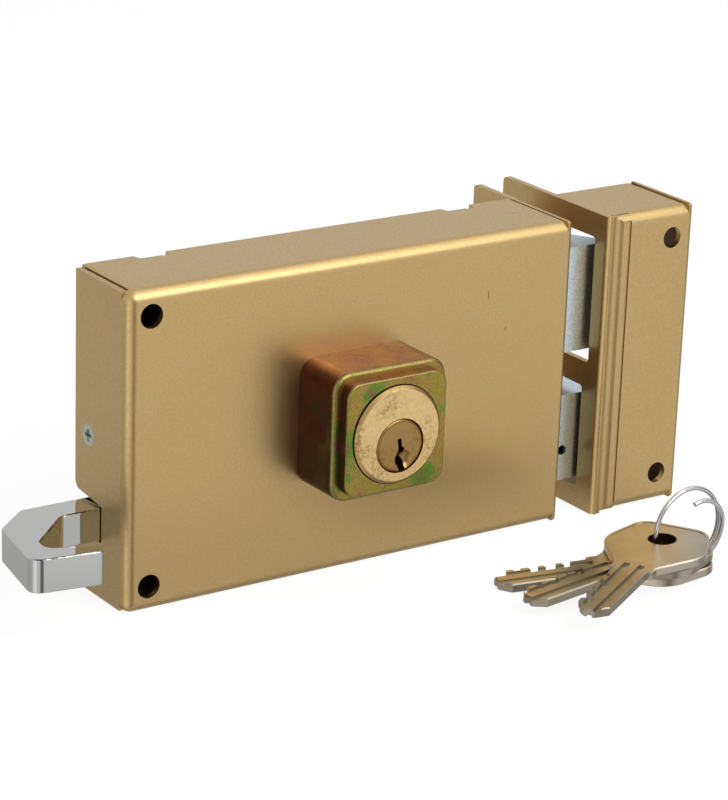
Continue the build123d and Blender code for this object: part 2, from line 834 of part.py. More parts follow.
def post_places():
    """X, Z and rear face of the plate that each post guides."""
    slide_z = arm_bottom + slide_post_rise
    return [(tail_post_x, bottom + tail_lift + tail_post_rise, tail_rear),
            (left + slide_post_left_x, slide_z, slide_rear),
            (slide_post_right_x, slide_z, slide_rear)]


def post_front():
    """Y of the posts' front ends, just clear of the sliding plates."""
    return slide_front - slide_clear


def make_guide_posts():
    """Three shouldered posts that stand on the back plate."""
    posts = []
    for x, z, rear in post_places():
        post = rod_y(x, z, post_base_radius, rear + slide_clear, plate_front)
        post += rod_y(x, z, post_radius, post_front(), rear + slide_clear)
        deep = post_front() + post_screw_length
        posts.append(post - rod_y(x, z, post_screw_radius, post_front() - cut_over, deep))
    return posts


def make_post_screws():
    """Three wide-headed screws that hold the plates on their posts."""
    screws = []
    for x, z, _ in post_places():
        screw = rod_y(x, z, post_base_radius, post_front() - post_head_height, post_front())
        screws.append(screw + rod_y(x, z, post_screw_radius, post_front(), post_front() + post_screw_length))
    return screws


def make_spring_bracket():
    """Angle bracket that the latch spring pushes against."""
    x0 = bracket_x
    z = spring_axis_z
    y = front + spring_axis_y
    half = bracket_width / 2
    bracket = block(x0, x0 + bracket_thickness, y - half, plate_front, z - half, z + half - layer_gap)
    bracket += block(x0, x0 + bracket_foot, plate_front - bracket_thickness, plate_front,
                     z - half, z + half - layer_gap)
    return bracket - rod_x(y, z, rod_radius, x0 - cut_over, x0 + bracket_thickness + cut_over)


def make_spring_rod():
    """Rod that guides the latch spring and enters the latch's bore."""
    return rod_x(front + spring_axis_y, spring_axis_z, rod_radius, bracket_x, latch_left + rod_entry)


def make_latch_spring():
    """Latch spring as a plain sleeve of its outer size."""
    y = front + spring_axis_y
    x0 = bracket_x + bracket_thickness
    coil = rod_x(y, spring_axis_z, spring_radius, x0, latch_left)
    return coil - rod_x(y, spring_axis_z, spring_bore, x0 - cut_over, latch_left + cut_over)


def make_retract_lever():
    """Lever that follows the slide's pin, with a tab in the cam's path."""
    half = lever_width / 2
    reach = math.hypot(lever_arm, latch_throw / 2)
    bar = block(-half, half, lever_front, lever_rear, 0, reach)
    lever = bar + rod_y(0, 0, half, lever_front, lever_rear)
    gap = slide_pin_radius + slide_clear
    y0, y1 = lever_front - cut_over, lever_rear + cut_over
    low, high = lever_arm - lever_slot_spare, reach + lever_slot_spare
    lever += rod_y(0, high, half, lever_front, lever_rear)
    lever -= rod_y(0, low, gap, y0, y1) + rod_y(0, high, gap, y0, y1)
    lever -= block(-gap, gap, y0, y1, low, high)
    tab_top = lever_tab_lift + lever_tab_height
    lever += block(half / 2, lever_tab_reach, lever_front, lever_rear, lever_tab_lift, tab_top)
    lever += block(lever_tab_reach - lever_thickness, lever_tab_reach, cam_front, lever_front,
                   lever_tab_lift, tab_top)
    lever -= rod_y(0, 0, lever_pivot_radius + turn_clear, y0, y1)
    return Pos(lever_pivot_x, 0, lever_pivot_z) * Rot(0, lever_lean, 0) * lever


def make_lever_pivot():
    """Shouldered pivot pin riveted to the back plate."""
    x, z = lever_pivot_x, lever_pivot_z
    pivot = rod_y(x, z, lever_head_radius, lever_rear + slide_clear, plate_front)
    pivot += rod_y(x, z, lever_pivot_radius, lever_front - slide_clear, lever_rear + slide_clear)
    return pivot + rod_y(x, z, lever_head_radius, lever_front - slide_clear - lever_head_height,
                         lever_front - slide_clear)


def make_bolt_spring():
    """Bowed leaf on the case floor under the dead bolt's tail."""
    floor_z = bottom + sheet
    crown = bottom + tail_lift - slide_clear
    x0, x1 = right - leaf_start_inset, right - leaf_end_inset
    middle = (x0 + x1) / 2
    upper = ThreePointArc((x0, tail_front, floor_z + leaf_thickness), (middle, tail_front, crown),
                          (x1, tail_front, floor_z + leaf_thickness))
    lower = ThreePointArc((x1, tail_front, floor_z), (middle, tail_front, crown - leaf_thickness),
                          (x0, tail_front, floor_z))
    ends = [Line(upper @ 1, lower @ 0), Line(lower @ 1, upper @ 0)]
    outline = make_face(Curve() + [upper, ends[0], lower, ends[1]])
    return extrude(outline, amount=tail_thickness, dir=(0, 1, 0))


def make_keeper_strike():
    """Strike plate with two windows, a long flange and the raised front strip."""
    far = keeper_back + keeper_flange
    outer = block(keeper_left, strip_right, keeper_front, far, bottom, top)
    outer = fillet(edges_near(outer, Axis.Z, X=keeper_left, Y=keeper_front), strike_bend)
    inner = block(keeper_left + sheet, strip_right + cut_over, keeper_front + sheet, far + cut_over,
                  bottom - cut_over, top + cut_over)
    bend = edges_near(inner, Axis.Z, X=keeper_left + sheet, Y=keeper_front + sheet)
    strike = outer - fillet(bend, strike_bend - sheet)
    groove_x = keeper_left + strike_groove_x
    groove_y = keeper_front + strike_groove_depth - strike_groove_radius
    strike -= rod_z(groove_x, groove_y, strike_groove_radius, bottom - cut_over, top + cut_over)
    rims = strike.edges().filter_by(Axis.Z).filter_by(lambda e: abs(e.center().Y - keeper_front) < sheet / 10)
    rims = rims.filter_by(lambda e: abs(e.center().X - groove_x) < strike_groove_radius)
    strike = fillet(rims, strike_groove_round)
    strike = fillet(edges_near(strike, Axis.X, Y=far), flange_corner)
    strike = fillet(edges_near(strike, Axis.Z, X=strip_right, Y=keeper_front), strip_edge_round)
    for side in (-1, 1):
        low, high = sorted((side * (top - strip_end_round), side * (top + cut_over)))
        end = block(groove_x, strip_right + cut_over, keeper_front - cut_over, keeper_front + strip_end_round,
                    low, high)
        strike -= end - rod_x(keeper_front + strip_end_round, side * (top - strip_end_round), strip_end_round,
                              groove_x - cut_over, strip_right + 2 * cut_over)
    spans = [(upper_window_inset, latch_bottom - upper_window_below, latch_top + upper_window_above),
             (lower_window_inset, dead_bottom - lower_window_below, dead_top + lower_window_above)]
    for inset, z0, z1 in spans:
        y0 = keeper_front + inset
        window = block(keeper_left - cut_over, keeper_left + sheet + cut_over, y0, y0 + window_depth,
                       z0, z1)
        strike -= fillet(window.edges().filter_by(Axis.X), window_round)
    for z in (-jamb_hole_height, jamb_hole_height):
        strike -= rod_x(keeper_back + keeper_flange / 2, z, flange_hole_radius,
                        keeper_left - cut_over, keeper_left + cut_over)
    return strike


def make_keeper_box():
    """Front, top, bottom and right wall of the keeper."""
    outer = block(strip_right, keeper_right, box_front, keeper_back, bottom, top)
    outer = bend_front(outer, strip_right, keeper_right, box_front, bottom, top, 0, fold_radius, bend_radius)
    outer += end_wall(keeper_right, box_front, keeper_back, bottom, top + keeper_wall_lip)
    inside = block(strip_right - cut_over, keeper_right - sheet, box_front + sheet, keeper_back + cut_over,
                   bottom + sheet, top - sheet)
    box = outer - inside
    start = keeper_front + sheet + plate_gap
    slit = keeper_right - sheet
    for side in (-1, 1):
        low, high = sorted((side * top, side * (top - sheet)))
        fold = block(keeper_left + sheet, strip_right, start, keeper_back, low, high)
        corner = edges_near(fold, Axis.Z, X=keeper_left + sheet, Y=start)
        box += fillet(corner, strike_bend - sheet + plate_gap)
        box -= block(slit - wall_slit, slit, box_front + bend_radius, keeper_back + cut_over, low, high)
    hole_z = top - keeper_hole_inset_z
    for z in (-hole_z, hole_z):
        box -= rod_y(keeper_right - keeper_hole_inset_x, z, keeper_hole_radius,
                     box_front - cut_over, box_front + sheet + cut_over)
    return box


def make_key(shares):
    """Flat key with its hole at the origin and its blade along +X."""
    neck = key_neck
    half = key_blade_width / 2
    wide = key_shoulder_width / 2
    stop = neck + key_shoulder_length
    outline = [(neck, -wide), (stop, -wide), (stop, -half), (key_tip_reach - key_tip_chamfer, -half)]
    outline += [(key_tip_reach, -half + key_tip_chamfer), (key_tip_reach, half - key_tip_chamfer)]
    outline += [(key_tip_reach - key_tip_chamfer, half), (stop, half), (stop, wide), (neck, wide)]
    head = key_head(0)
    key = extrude(head, amount=key_thickness, dir=(0, 0, 1)) + plate_z(outline, 0, key_thickness)
    key = chamfer(slab_edges(key), key_edge_chamfer)
    field = key_head(key_rim_width)
    key -= Pos(0, 0, -key_rim_depth) * extrude(field, amount=2 * key_rim_depth, dir=(0, 0, 1))
    key -= Pos(0, 0, key_thickness - key_rim_depth) * extrude(field, amount=2 * key_rim_depth, dir=(0, 0, 1))
    key -= rod_z(0, 0, key_hole_radius, -cut_over, key_thickness + cut_over)
    for row, share in enumerate(shares):
        x = stop + key_cut_start + row * key_cut_pitch
        floor = half - key_cut_depth * share
        flare = key_cut_flat + key_cut_flare * share
        cut = [(x - key_cut_flat, -floor), (x + key_cut_flat, -floor)]
        cut += [(x + flare, -half - key_cut_flat), (x - flare, -half - key_cut_flat)]
        key -= plate_z(cut, -cut_over, key_thickness + cut_over)
    start = stop - key_shoulder_length / 2
    upper = key_thickness - key_groove_depth
    slim = key_groove_width / 2
    over = key_thickness + cut_over
    for y, z0, z1 in ((key_groove_offset, upper, over), (-key_groove_offset, upper, over),
                      (0, -cut_over, key_groove_depth)):
        key -= block(start, key_tip_reach + cut_over, y - slim, y + slim, z0, z1)
    return key


def key_head(inset):
    """Outline of the key's head, drawn in by an inset."""
    wide = key_head_width / 2 - inset
    end = key_head_end_width / 2 - inset / 2
    neck = key_shoulder_width / 2 - inset / 2
    far = -key_end_inset + inset
    near = key_neck + key_shoulder_length / 2 - 2 * inset
    half = [(far, end), (key_head_shoulder, wide), (near, neck)]
    points = half + [(x, -y) for x, y in reversed(half)]
    face = Face(Wire.make_polygon([(x, y, 0) for x, y in points], close=True))
    sides = [v for v in face.vertices() if far + inset < v.X < near - inset]
    face = fillet(sides, key_head_side_round - inset)
    ends = [v for v in face.vertices() if abs(v.X - far) < sheet / 10]
    return fillet(ends, key_head_end_round - inset)


def slab_edges(shape):
    """Edges round the flat top and bottom of a slab."""
    faces = shape.faces().filter_by(Axis.Z).sort_by(Axis.Z)
    return faces[0].edges() + faces[-1].edges()


def ring_centre():
    """Centre of the standing key ring."""
    return Vector(left + ring_x, front - ring_y, bottom + ring_radius + ring_wire)


def key_stack_plane():
    """Tilted plane under the lowest key, through the middle of its hole."""
    lean = math.radians(key_tilt)
    heading = math.radians(key_headings[1])
    normal = (math.sin(lean) * math.cos(heading), math.sin(lean) * math.sin(heading), math.cos(lean))
    centre = ring_centre()
    middle = key_stack_lift + key_thickness / 2
    across = math.sqrt(ring_radius ** 2 - (centre.Z - bottom - middle) ** 2)
    base = (centre.X - across + key_hole_shifts[0], centre.Y + ring_pitch / 4, bottom + key_stack_lift)
    return Plane(origin=base, x_dir=(math.cos(heading), math.sin(heading), -math.tan(lean)), z_dir=normal)


def key_place(row):
    """Place of one key's hole in the stack."""
    plane = key_stack_plane()
    centre = ring_centre()
    level = row * (key_thickness + key_gap)
    height = plane.origin.Z + level + key_thickness / 2
    across = math.sqrt(ring_radius ** 2 - (centre.Z - height) ** 2)
    shift = centre.X - across + key_hole_shifts[row] - plane.origin.X
    heading = math.radians(key_headings[1])
    offset = plane.location * Pos(shift * math.cos(heading), -shift * math.sin(heading), level)
    return offset * Rot(0, 0, key_headings[row] - key_headings[1])


def make_key_ring():
    """Open wire ring: a lead-in arc, one full turn and a short tail."""
    c = ring_centre()

    def point(angle, radius, centre_x, y):
        turn = math.radians(angle)
        return (centre_x + radius * math.cos(turn), y, c.Z + radius * math.sin(turn))

    lead_x = c.X + ring_radius - ring_lead_radius
    path = [ThreePointArc(point(ring_lead_turn, ring_lead_radius, lead_x, c.Y),
                          point(ring_lead_turn / 2, ring_lead_radius, lead_x, c.Y),
                          point(0, ring_lead_radius, lead_x, c.Y))]
    for half in range(2):
        y0 = c.Y + half * ring_pitch / 2
        start = -half_turn * half
        path.append(ThreePointArc(point(start, ring_radius, c.X, y0),
                                  point(start - half_turn / 2, ring_radius, c.X, y0 + ring_pitch / 4),
                                  point(start - half_turn, ring_radius, c.X, y0 + ring_pitch / 2)))
    y1 = c.Y + ring_pitch
    path.append(ThreePointArc(point(0, ring_radius, c.X, y1),
                              point(-ring_tail_turn / 2, ring_radius, c.X, y1),
                              point(-ring_tail_turn, ring_radius, c.X, y1)))
    wire = Wire(path)
    section = Plane(origin=wire @ 0, z_dir=wire % 0) * Circle(ring_wire)
    return sweep(section, path=wire)


def gather(solids):
    """Separate solids kept together in one node."""
    flat = []
    for shape in solids:
        flat += shape.solids()
    return Compound(children=flat)


NODES = {
    "case_cover": make_case_cover(),
    "back_plate": make_back_plate(),
    "side_screw": side_screw() - cross_recess(),
    "cylinder_housing": make_housing(),
    "housing_screws": gather(make_housing_screws()),
    "cylinder_body": make_cylinder_body(),
    "cylinder_plug": make_cylinder_plug(),
    "cylinder_nut": make_cylinder_nut(),
    "key_pins": gather(make_key_pins()),
    "driver_pins": gather(make_driver_pins()),
    "pin_springs": gather(make_pin_springs()),
    "chamber_plugs": gather(make_chamber_plugs()),
    "cam": make_cam(),
    "cam_clip": make_cam_clip(),
    "dead_bolt": make_dead_bolt(),
    "dead_bolt_tail": make_dead_bolt_tail(),
    "dead_bolt_rivets": gather(make_dead_bolt_rivets()),
    "latch_bolt": make_latch_bolt(),
    "latch_slide": make_latch_slide(),
    "latch_rivets": gather(make_latch_rivets()),
    "slide_pin": make_slide_pin(),
    "pull_handle": make_pull_handle(),
    "pull_pin": make_pull_pin(),
    "guide_posts": gather(make_guide_posts()),
    "post_screws": gather(make_post_screws()),
    "spring_bracket": make_spring_bracket(),
    "spring_rod": make_spring_rod(),
    "latch_spring": make_latch_spring(),
    "retract_lever": make_retract_lever(),
    "lever_pivot": make_lever_pivot(),
    "bolt_spring": make_bolt_spring(),
    "keeper_strike": make_keeper_strike(),
    "keeper_box": make_keeper_box(),
    "key_ring": make_key_ring(),
}
for row, shares in enumerate(key_cut_shares):
    NODES[f"key_{row + 1}"] = key_place(row) * make_key(shares)

os.makedirs("parts", exist_ok=True)
for name, shape in NODES.items():
    export_step(shape, f"parts/{name}.step")

for row in range(len(key_cut_shares)):
    place = key_place(row)
    print("key", row + 1, "hinge", [round(v, 4) for v in place.position], "axis",
          [round(v, 6) for v in Plane(place).z_dir])
print("plug axis", round(plug_x, 4), round(plug_z, 4), "lever swing", round(2 * lever_lean, 4))
print("lever pivot", round(lever_pivot_x, 4), round(lever_pivot_z, 4))
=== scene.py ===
"""Looks of a rim box lock with its keeper, its keys and their wire ring."""

import json
import logging
import math
from collections.abc import Iterable
from dataclasses import dataclass, field, replace
from enum import Enum
from functools import cache

import bmesh
import bpy
from mathutils import Matrix, Vector


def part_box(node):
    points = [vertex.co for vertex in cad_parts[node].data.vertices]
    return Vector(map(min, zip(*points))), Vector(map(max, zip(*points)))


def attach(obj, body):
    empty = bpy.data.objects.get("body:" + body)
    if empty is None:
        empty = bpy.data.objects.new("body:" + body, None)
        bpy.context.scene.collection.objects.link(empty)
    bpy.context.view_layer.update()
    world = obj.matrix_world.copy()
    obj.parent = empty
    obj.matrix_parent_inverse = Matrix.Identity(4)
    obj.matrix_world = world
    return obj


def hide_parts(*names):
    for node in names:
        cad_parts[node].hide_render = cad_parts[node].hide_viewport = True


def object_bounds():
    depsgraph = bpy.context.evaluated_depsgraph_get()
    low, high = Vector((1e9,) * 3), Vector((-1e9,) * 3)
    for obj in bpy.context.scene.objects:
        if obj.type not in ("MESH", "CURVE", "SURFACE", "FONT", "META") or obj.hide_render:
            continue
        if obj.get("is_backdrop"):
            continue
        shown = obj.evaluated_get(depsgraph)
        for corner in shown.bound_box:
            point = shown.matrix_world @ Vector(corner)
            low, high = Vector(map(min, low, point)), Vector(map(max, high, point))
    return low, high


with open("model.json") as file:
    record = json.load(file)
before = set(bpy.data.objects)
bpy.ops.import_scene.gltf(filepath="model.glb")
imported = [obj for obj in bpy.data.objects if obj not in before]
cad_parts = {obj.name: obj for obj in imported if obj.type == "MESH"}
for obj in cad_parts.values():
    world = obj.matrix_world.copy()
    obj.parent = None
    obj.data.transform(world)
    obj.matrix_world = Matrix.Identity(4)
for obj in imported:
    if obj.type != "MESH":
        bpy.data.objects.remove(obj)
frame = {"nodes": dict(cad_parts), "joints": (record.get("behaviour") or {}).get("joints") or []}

LOG = logging.getLogger("rim_lock")
MM = 0.001


class Body(Enum):
    """The moving bodies that pieces ride on."""

    CASE = "case"
    PLUG = "plug"
    DEAD_BOLT = "deadbolt"
    LATCH = "latch"
    LEVER = "lever"
    KEY_1 = "key_1"
    KEY_2 = "key_2"
    KEY_3 = "key_3"


class Slot(Enum):
    """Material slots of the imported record."""

    GOLD = "gold_paint"
    ZINC_SHEET = "zinc_sheet"
    ZINC_CAST = "zinc_cast"
    YELLOW_ZINC = "yellow_zinc"
    BRASS = "brass"
    CHROME = "chrome"
    NICKEL = "nickel"
    STEEL = "steel"
    SPRING = "spring_steel"


Colour = tuple[float, float, float]
Point = tuple[float, float, float]
Range = tuple[float, float]
Marks = tuple[tuple[Point, Point], ...]
Socket = bpy.types.NodeSocket


def linear(red: int, green: int, blue: int) -> Colour:
    """Turn a display colour into the linear one that shaders use.

    Args:
        red: red from 0 to 255.
        green: green from 0 to 255.
        blue: blue from 0 to 255.

    Returns:
        The three linear values.
    """
    shares = (value / 255 for value in (red, green, blue))
    return tuple(share / 12.92 if share <= 0.04045 else ((share + 0.055) / 1.055) ** 2.4 for share in shares)


@dataclass
class Nodes:
    """Short way to build a node tree.

    Attributes:
        tree: the node tree that is built.
    """

    tree: bpy.types.NodeTree

    def add(self, kind: str, *values: object, **settings: object) -> bpy.types.Node:
        """Add a node.

        Args:
            kind: the node's Blender type.
            values: what feeds its inputs in turn.
            settings: properties to set on it.

        Returns:
            The new node.
        """
        node = self.tree.nodes.new(kind)
        for name, value in settings.items():
            setattr(node, name, value)
        self.feed(node.inputs, values)
        return node

    def feed(self, sockets: Iterable[Socket], values: Iterable[object]) -> None:
        """Give each socket its value.

        Args:
            sockets: the sockets.
            values: a socket to link, a linear colour or a plain value for each.
        """
        for socket, value in zip(sockets, values):
            if isinstance(value, Socket):
                self.join(value, socket)
            else:
                socket.default_value = (*value, 1.0) if socket.type == "RGBA" else value

    def feed_named(self, node: bpy.types.Node, **values: object) -> None:
        """Give inputs their values by name, with underscores for spaces."""
        self.feed((node.inputs[name.replace("_", " ").capitalize()] for name in values), values.values())

    def join(self, source: Socket, target: Socket) -> None:
        """Link two sockets."""
        self.tree.links.new(source, target)

    def math(self, operation: str, first: object, second: object = 0.0) -> Socket:
        """Work on two sockets or numbers."""
        return self.add("ShaderNodeMath", first, second, operation=operation).outputs[0]

    def times(self, first: object, second: object) -> Socket:
        """Multiply two sockets or numbers."""
        return self.math("MULTIPLY", first, second)

    def vector(self, operation: str, *values: object) -> Socket:
        """Work on sockets or vectors and give a vector."""
        return self.add("ShaderNodeVectorMath", *values, operation=operation).outputs["Vector"]

    def measure(self, operation: str, *values: object) -> Socket:
        """Work on sockets or vectors and give a number."""
        return self.add("ShaderNodeVectorMath", *values, operation=operation).outputs["Value"]

    def climb(self, value: Socket, gain: float, start: float) -> Socket:
        """Give a start plus a gain times a value."""
        return self.add("ShaderNodeMath", value, gain, start, operation="MULTIPLY_ADD").outputs[0]

    def band(self, value: Socket, low: float, high: float) -> Socket:
        """Spread a value to 0 at low and 1 at high, and no further."""
        return self.add("ShaderNodeMapRange", value, low, high).outputs[0]

    def coords(self, kind: str = "Object") -> Socket:
        """Give one kind of texture coordinates."""
        return self.add("ShaderNodeTexCoord").outputs[kind]

    def split(self, vector: Socket) -> bpy.types.NodeOutputs:
        """Give a vector's outputs X, Y and Z."""
        return self.add("ShaderNodeSeparateXYZ", vector).outputs

    def mix(self, factor: object, first: object, second: object) -> Socket:
        """Mix two colours.

        Args:
            factor: a socket or a number.
            first: a socket or a linear colour.
            second: a socket or a linear colour.

        Returns:
            The mixed colour.
        """
        node = self.add("ShaderNodeMix", factor, data_type="RGBA")
        colour_inputs, colour_output = node.inputs[6:8], node.outputs[2]
        self.feed(colour_inputs, (first, second))
        return colour_output

    def noise(self, vector: Socket, scale: object, detail: float = 2.0, roughness: float = 0.5) -> Socket:
        """Add a noise texture.

        Args:
            vector: the coordinates.
            scale: cycles per metre, a socket or a number.
            detail: octaves.
            roughness: share of each further octave.

        Returns:
            The noise value.
        """
        node = self.add("ShaderNodeTexNoise", vector)
        self.feed_named(node, scale=scale, detail=detail, roughness=roughness)
        return node.outputs["Fac"]

    def stretch(self, vector: Socket, scale: Vector, turn: Vector) -> Socket:
        """Turn and stretch coordinates.

        Args:
            vector: the coordinates.
            scale: the stretch along each turned axis.
            turn: rotation in radians.

        Returns:
            The new coordinates.
        """
        turned = self.add("ShaderNodeMapping", vector)
        turned.inputs["Rotation"].default_value = turn
        scaled = self.add("ShaderNodeMapping", turned.outputs[0])
        scaled.inputs["Scale"].default_value = scale
        return scaled.outputs[0]


class EffectGroup:
    """A shader node group with named inputs and outputs, built once.

    Attributes:
        name: the group's name.
        inputs: each input with its default, a number or a vector.
        outputs: the names of its values.
    """

    name = "effect"
    inputs: dict[str, object] = {}
    outputs: tuple[str, ...] = ()

    def __init__(self) -> None:
        """Build the group's sockets and inside."""
        self.tree = bpy.data.node_groups.new(self.name, "ShaderNodeTree")
        for label, value in self.inputs.items():
            kind = "NodeSocketVector" if isinstance(value, tuple) else "NodeSocketFloat"
            self.tree.interface.new_socket(label, in_out="INPUT", socket_type=kind).default_value = value
        for label in self.outputs:
            self.tree.interface.new_socket(label, in_out="OUTPUT", socket_type="NodeSocketFloat")
        nodes = Nodes(self.tree)
        nodes.add("NodeGroupOutput", *self.fill(nodes, nodes.add("NodeGroupInput").outputs))

    def fill(self, nodes: Nodes, given: bpy.types.NodeOutputs) -> tuple[Socket, ...]:
        """Build the inside of the group.

        Args:
            nodes: the group's nodes.
            given: the group's inputs.

        Returns:
            What goes to each output.
        """
        raise NotImplementedError

    def place(self, nodes: Nodes, **values: object) -> bpy.types.NodeOutputs:
        """Place the group in a material.

        Args:
            nodes: the material's nodes.
            values: what feeds each named input.

        Returns:
            Its outputs.
        """
        node = nodes.add("ShaderNodeGroup", node_tree=self.tree)
        nodes.feed_named(node, **values)
        return node.outputs


class Grain(EffectGroup):
    """Fine grain of paint or cast metal as a height and two masks.

    Attributes:
        speck_range: fine noise where the specks start and are full.
        broad_range: the same for the broad patches.
    """

    name = "surface_grain"
    inputs = {"Fine scale": 2500.0, "Broad scale": 120.0, "Fine share": 0.7}
    outputs = ("Height", "Speck", "Broad")
    speck_range = (0.35, 0.7)
    broad_range = (0.3, 0.7)

    def fill(self, nodes: Nodes, given: bpy.types.NodeOutputs) -> tuple[Socket, ...]:
        """Build noise at two scales.

        Args:
            nodes: the group's nodes.
            given: the group's inputs.

        Returns:
            What goes to each output.
        """
        place = nodes.coords()
        fine = nodes.noise(place, given["Fine scale"], detail=2.0)
        broad = nodes.noise(place, given["Broad scale"], detail=3.0)
        rest = nodes.math("SUBTRACT", 1.0, given["Fine share"])
        height = nodes.math("ADD", nodes.times(fine, given["Fine share"]), nodes.times(broad, rest))
        return height, nodes.band(fine, *self.speck_range), nodes.band(broad, *self.broad_range)


class Mark(EffectGroup):
    """Mask of one small mark at a place on the surface.

    Attributes:
        ragged_scale: cycles per metre of its ragged rim.
        rim_range: distance in half sizes, plus noise, where it ends and is full.
    """

    name = "paint_mark"
    inputs = {"Centre": (0.0, 0.0, 0.0), "Half size": (MM, MM, MM)}
    outputs = ("Mask",)
    ragged_scale = 2600.0
    rim_range = (1.6, 1.1)

    def fill(self, nodes: Nodes, given: bpy.types.NodeOutputs) -> tuple[Socket, ...]:
        """Build a soft ellipsoid with a ragged rim.

        Args:
            nodes: the group's nodes.
            given: the group's inputs.

        Returns:
            What goes to each output.
        """
        place = nodes.coords()
        away = nodes.vector("SUBTRACT", place, given["Centre"])
        length = nodes.measure("LENGTH", nodes.vector("DIVIDE", away, given["Half size"]))
        ragged = nodes.math("ADD", length, nodes.noise(place, self.ragged_scale))
        return (nodes.band(ragged, *self.rim_range),)


@dataclass(frozen=True)
class Lobe:
    """A bright or dark part of the studio around one heading.

    Attributes:
        heading: level direction of its middle.
        reach: cosines where it starts and where it is full.
        gain: how much it changes the level.
    """

    heading: Point
    reach: Range
    gain: float


class Room(EffectGroup):
    """How bright the studio looks along a direction, for reflections only.

    Attributes:
        window: the bright side.
        camera_side: the dark side where the camera stands.
        right_side: the dark side on the right.
        level_z: the direction's Z where these three start and are full.
        table_y: its Y where the dim table behind starts and is full.
        table_z: the same for its Z.
        table_loss: how dim the table is.
    """

    name = "studio_room"
    inputs = {"Direction": (0.0, 0.0, 1.0)}
    outputs = ("Level",)
    window = Lobe((-0.906, -0.423, 0.0), (0.95, 0.99), 0.7)
    camera_side = Lobe((-0.139, -0.990, 0.0), (0.95, 0.985), 0.9)
    right_side = Lobe((0.964, -0.264, 0.0), (0.9, 0.97), 0.65)
    level_z = (0.45, 0.1)
    table_y = (-0.05, 0.15)
    table_z = (0.02, -0.06)
    table_loss = 0.3

    def fill(self, nodes: Nodes, given: bpy.types.NodeOutputs) -> tuple[Socket, ...]:
        """Build a bright window, two dark sides and a dim table behind.

        Args:
            nodes: the group's nodes.
            given: the group's inputs.

        Returns:
            What goes to each output.
        """
        flat = nodes.vector("NORMALIZE", nodes.vector("MULTIPLY", given["Direction"], (1.0, 1.0, 0.0)))
        along = nodes.split(given["Direction"])
        low = nodes.band(along["Z"], *self.level_z)
        bright, ahead, right = (self.share(nodes, flat, lobe)
                                for lobe in (self.window, self.camera_side, self.right_side))
        table = nodes.times(nodes.band(along["Y"], *self.table_y), nodes.band(along["Z"], *self.table_z))
        dark = nodes.math("MAXIMUM", nodes.math("MAXIMUM", ahead, right),
                          nodes.times(table, self.table_loss))
        change = nodes.math("SUBTRACT", bright, dark)
        return (nodes.math("ADD", nodes.times(change, low), 1.0),)

    def share(self, nodes: Nodes, flat: Socket, lobe: Lobe) -> Socket:
        """Give a lobe's gain where the level direction is near its heading."""
        facing = nodes.measure("DOT_PRODUCT", flat, lobe.heading)
        return nodes.times(nodes.band(facing, *lobe.reach), lobe.gain)


GRAIN = Grain()
MARK = Mark()
ROOM = Room()


def fresh_nodes(owner: bpy.types.Material | bpy.types.World) -> Nodes:
    """Switch a material's or a world's nodes on and empty them.

    Args:
        owner: the material or world.

    Returns:
        Its nodes.
    """
    owner.use_nodes = True
    owner.node_tree.nodes.clear()
    return Nodes(owner.node_tree)


@dataclass(frozen=True)
class Finish:
    """A finish that makes one material.

    Attributes:
        name: the material's name.
        colour: the base colour.
        metallic: share of metal.
        roughness: its roughness without wear.
        dulling: roughness that the finish's own noise adds.
    """

    name: str
    colour: Colour
    metallic: float = 1.0
    roughness: float = 0.35
    dulling: float = 0.1

    def material(self) -> bpy.types.Material:
        """Make the material.

        Returns:
            The new material.
        """
        made = bpy.data.materials.new(self.name)
        nodes = fresh_nodes(made)
        shader = nodes.add("ShaderNodeBsdfPrincipled", self.colour, self.metallic, self.roughness)
        nodes.add("ShaderNodeOutputMaterial", shader.outputs[0])
        self.dress(nodes, shader)
        made.diffuse_color = (*self.colour, 1.0)
        return made

    def dress(self, nodes: Nodes, shader: bpy.types.Node) -> None:
        """Add the finish's own detail.

        Args:
            nodes: the material's nodes.
            shader: the Principled shader.
        """
        grain = GRAIN.place(nodes, fine_scale=2200.0, broad_scale=150.0, fine_share=0.5)
        rough = nodes.band(grain["Broad"], low=-1.0, high=2.0)
        nodes.join(nodes.times(rough, 2 * self.roughness), shader.inputs["Roughness"])
        self.relief(nodes, shader, grain["Height"], depth=0.02 * MM, strength=0.4)

    def relief(self, nodes: Nodes, shader: bpy.types.Node, height: Socket, depth: float, strength: float) -> None:
        """Drive the shader's normal from a height.

        Args:
            nodes: the material's nodes.
            shader: the Principled shader.
            height: the height from 0 to 1.
            depth: the real depth in metres.
            strength: share of the effect.
        """
        node = nodes.add("ShaderNodeBump")
        nodes.feed_named(node, distance=depth, strength=strength, height=height)
        nodes.join(node.outputs[0], shader.inputs["Normal"])

    def coat(self, nodes: Nodes, shader: bpy.types.Node, colour: Socket, wear: Socket) -> None:
        """Give the shader its colour and, where the wear mask is high, more roughness."""
        rough = nodes.climb(wear, self.dulling, self.roughness)
        nodes.feed((shader.inputs["Base Color"], shader.inputs["Roughness"]), (colour, rough))


def marked(nodes: Nodes, colour: Socket, marks: Marks, share: float, dark: Colour) -> Socket:
    """Lay small dark marks over a colour.

    Args:
        nodes: the material's nodes.
        colour: the colour under the marks.
        marks: place and half size in millimetres of each mark.
        share: how strong the marks are.
        dark: their linear colour.

    Returns:
        The marked colour.
    """
    for place, half in marks:
        mark = MARK.place(nodes, centre=tuple(Vector(place) * MM), half_size=tuple(Vector(half) * MM))
        colour = nodes.mix(nodes.times(mark["Mask"], share), colour, dark)
    return colour


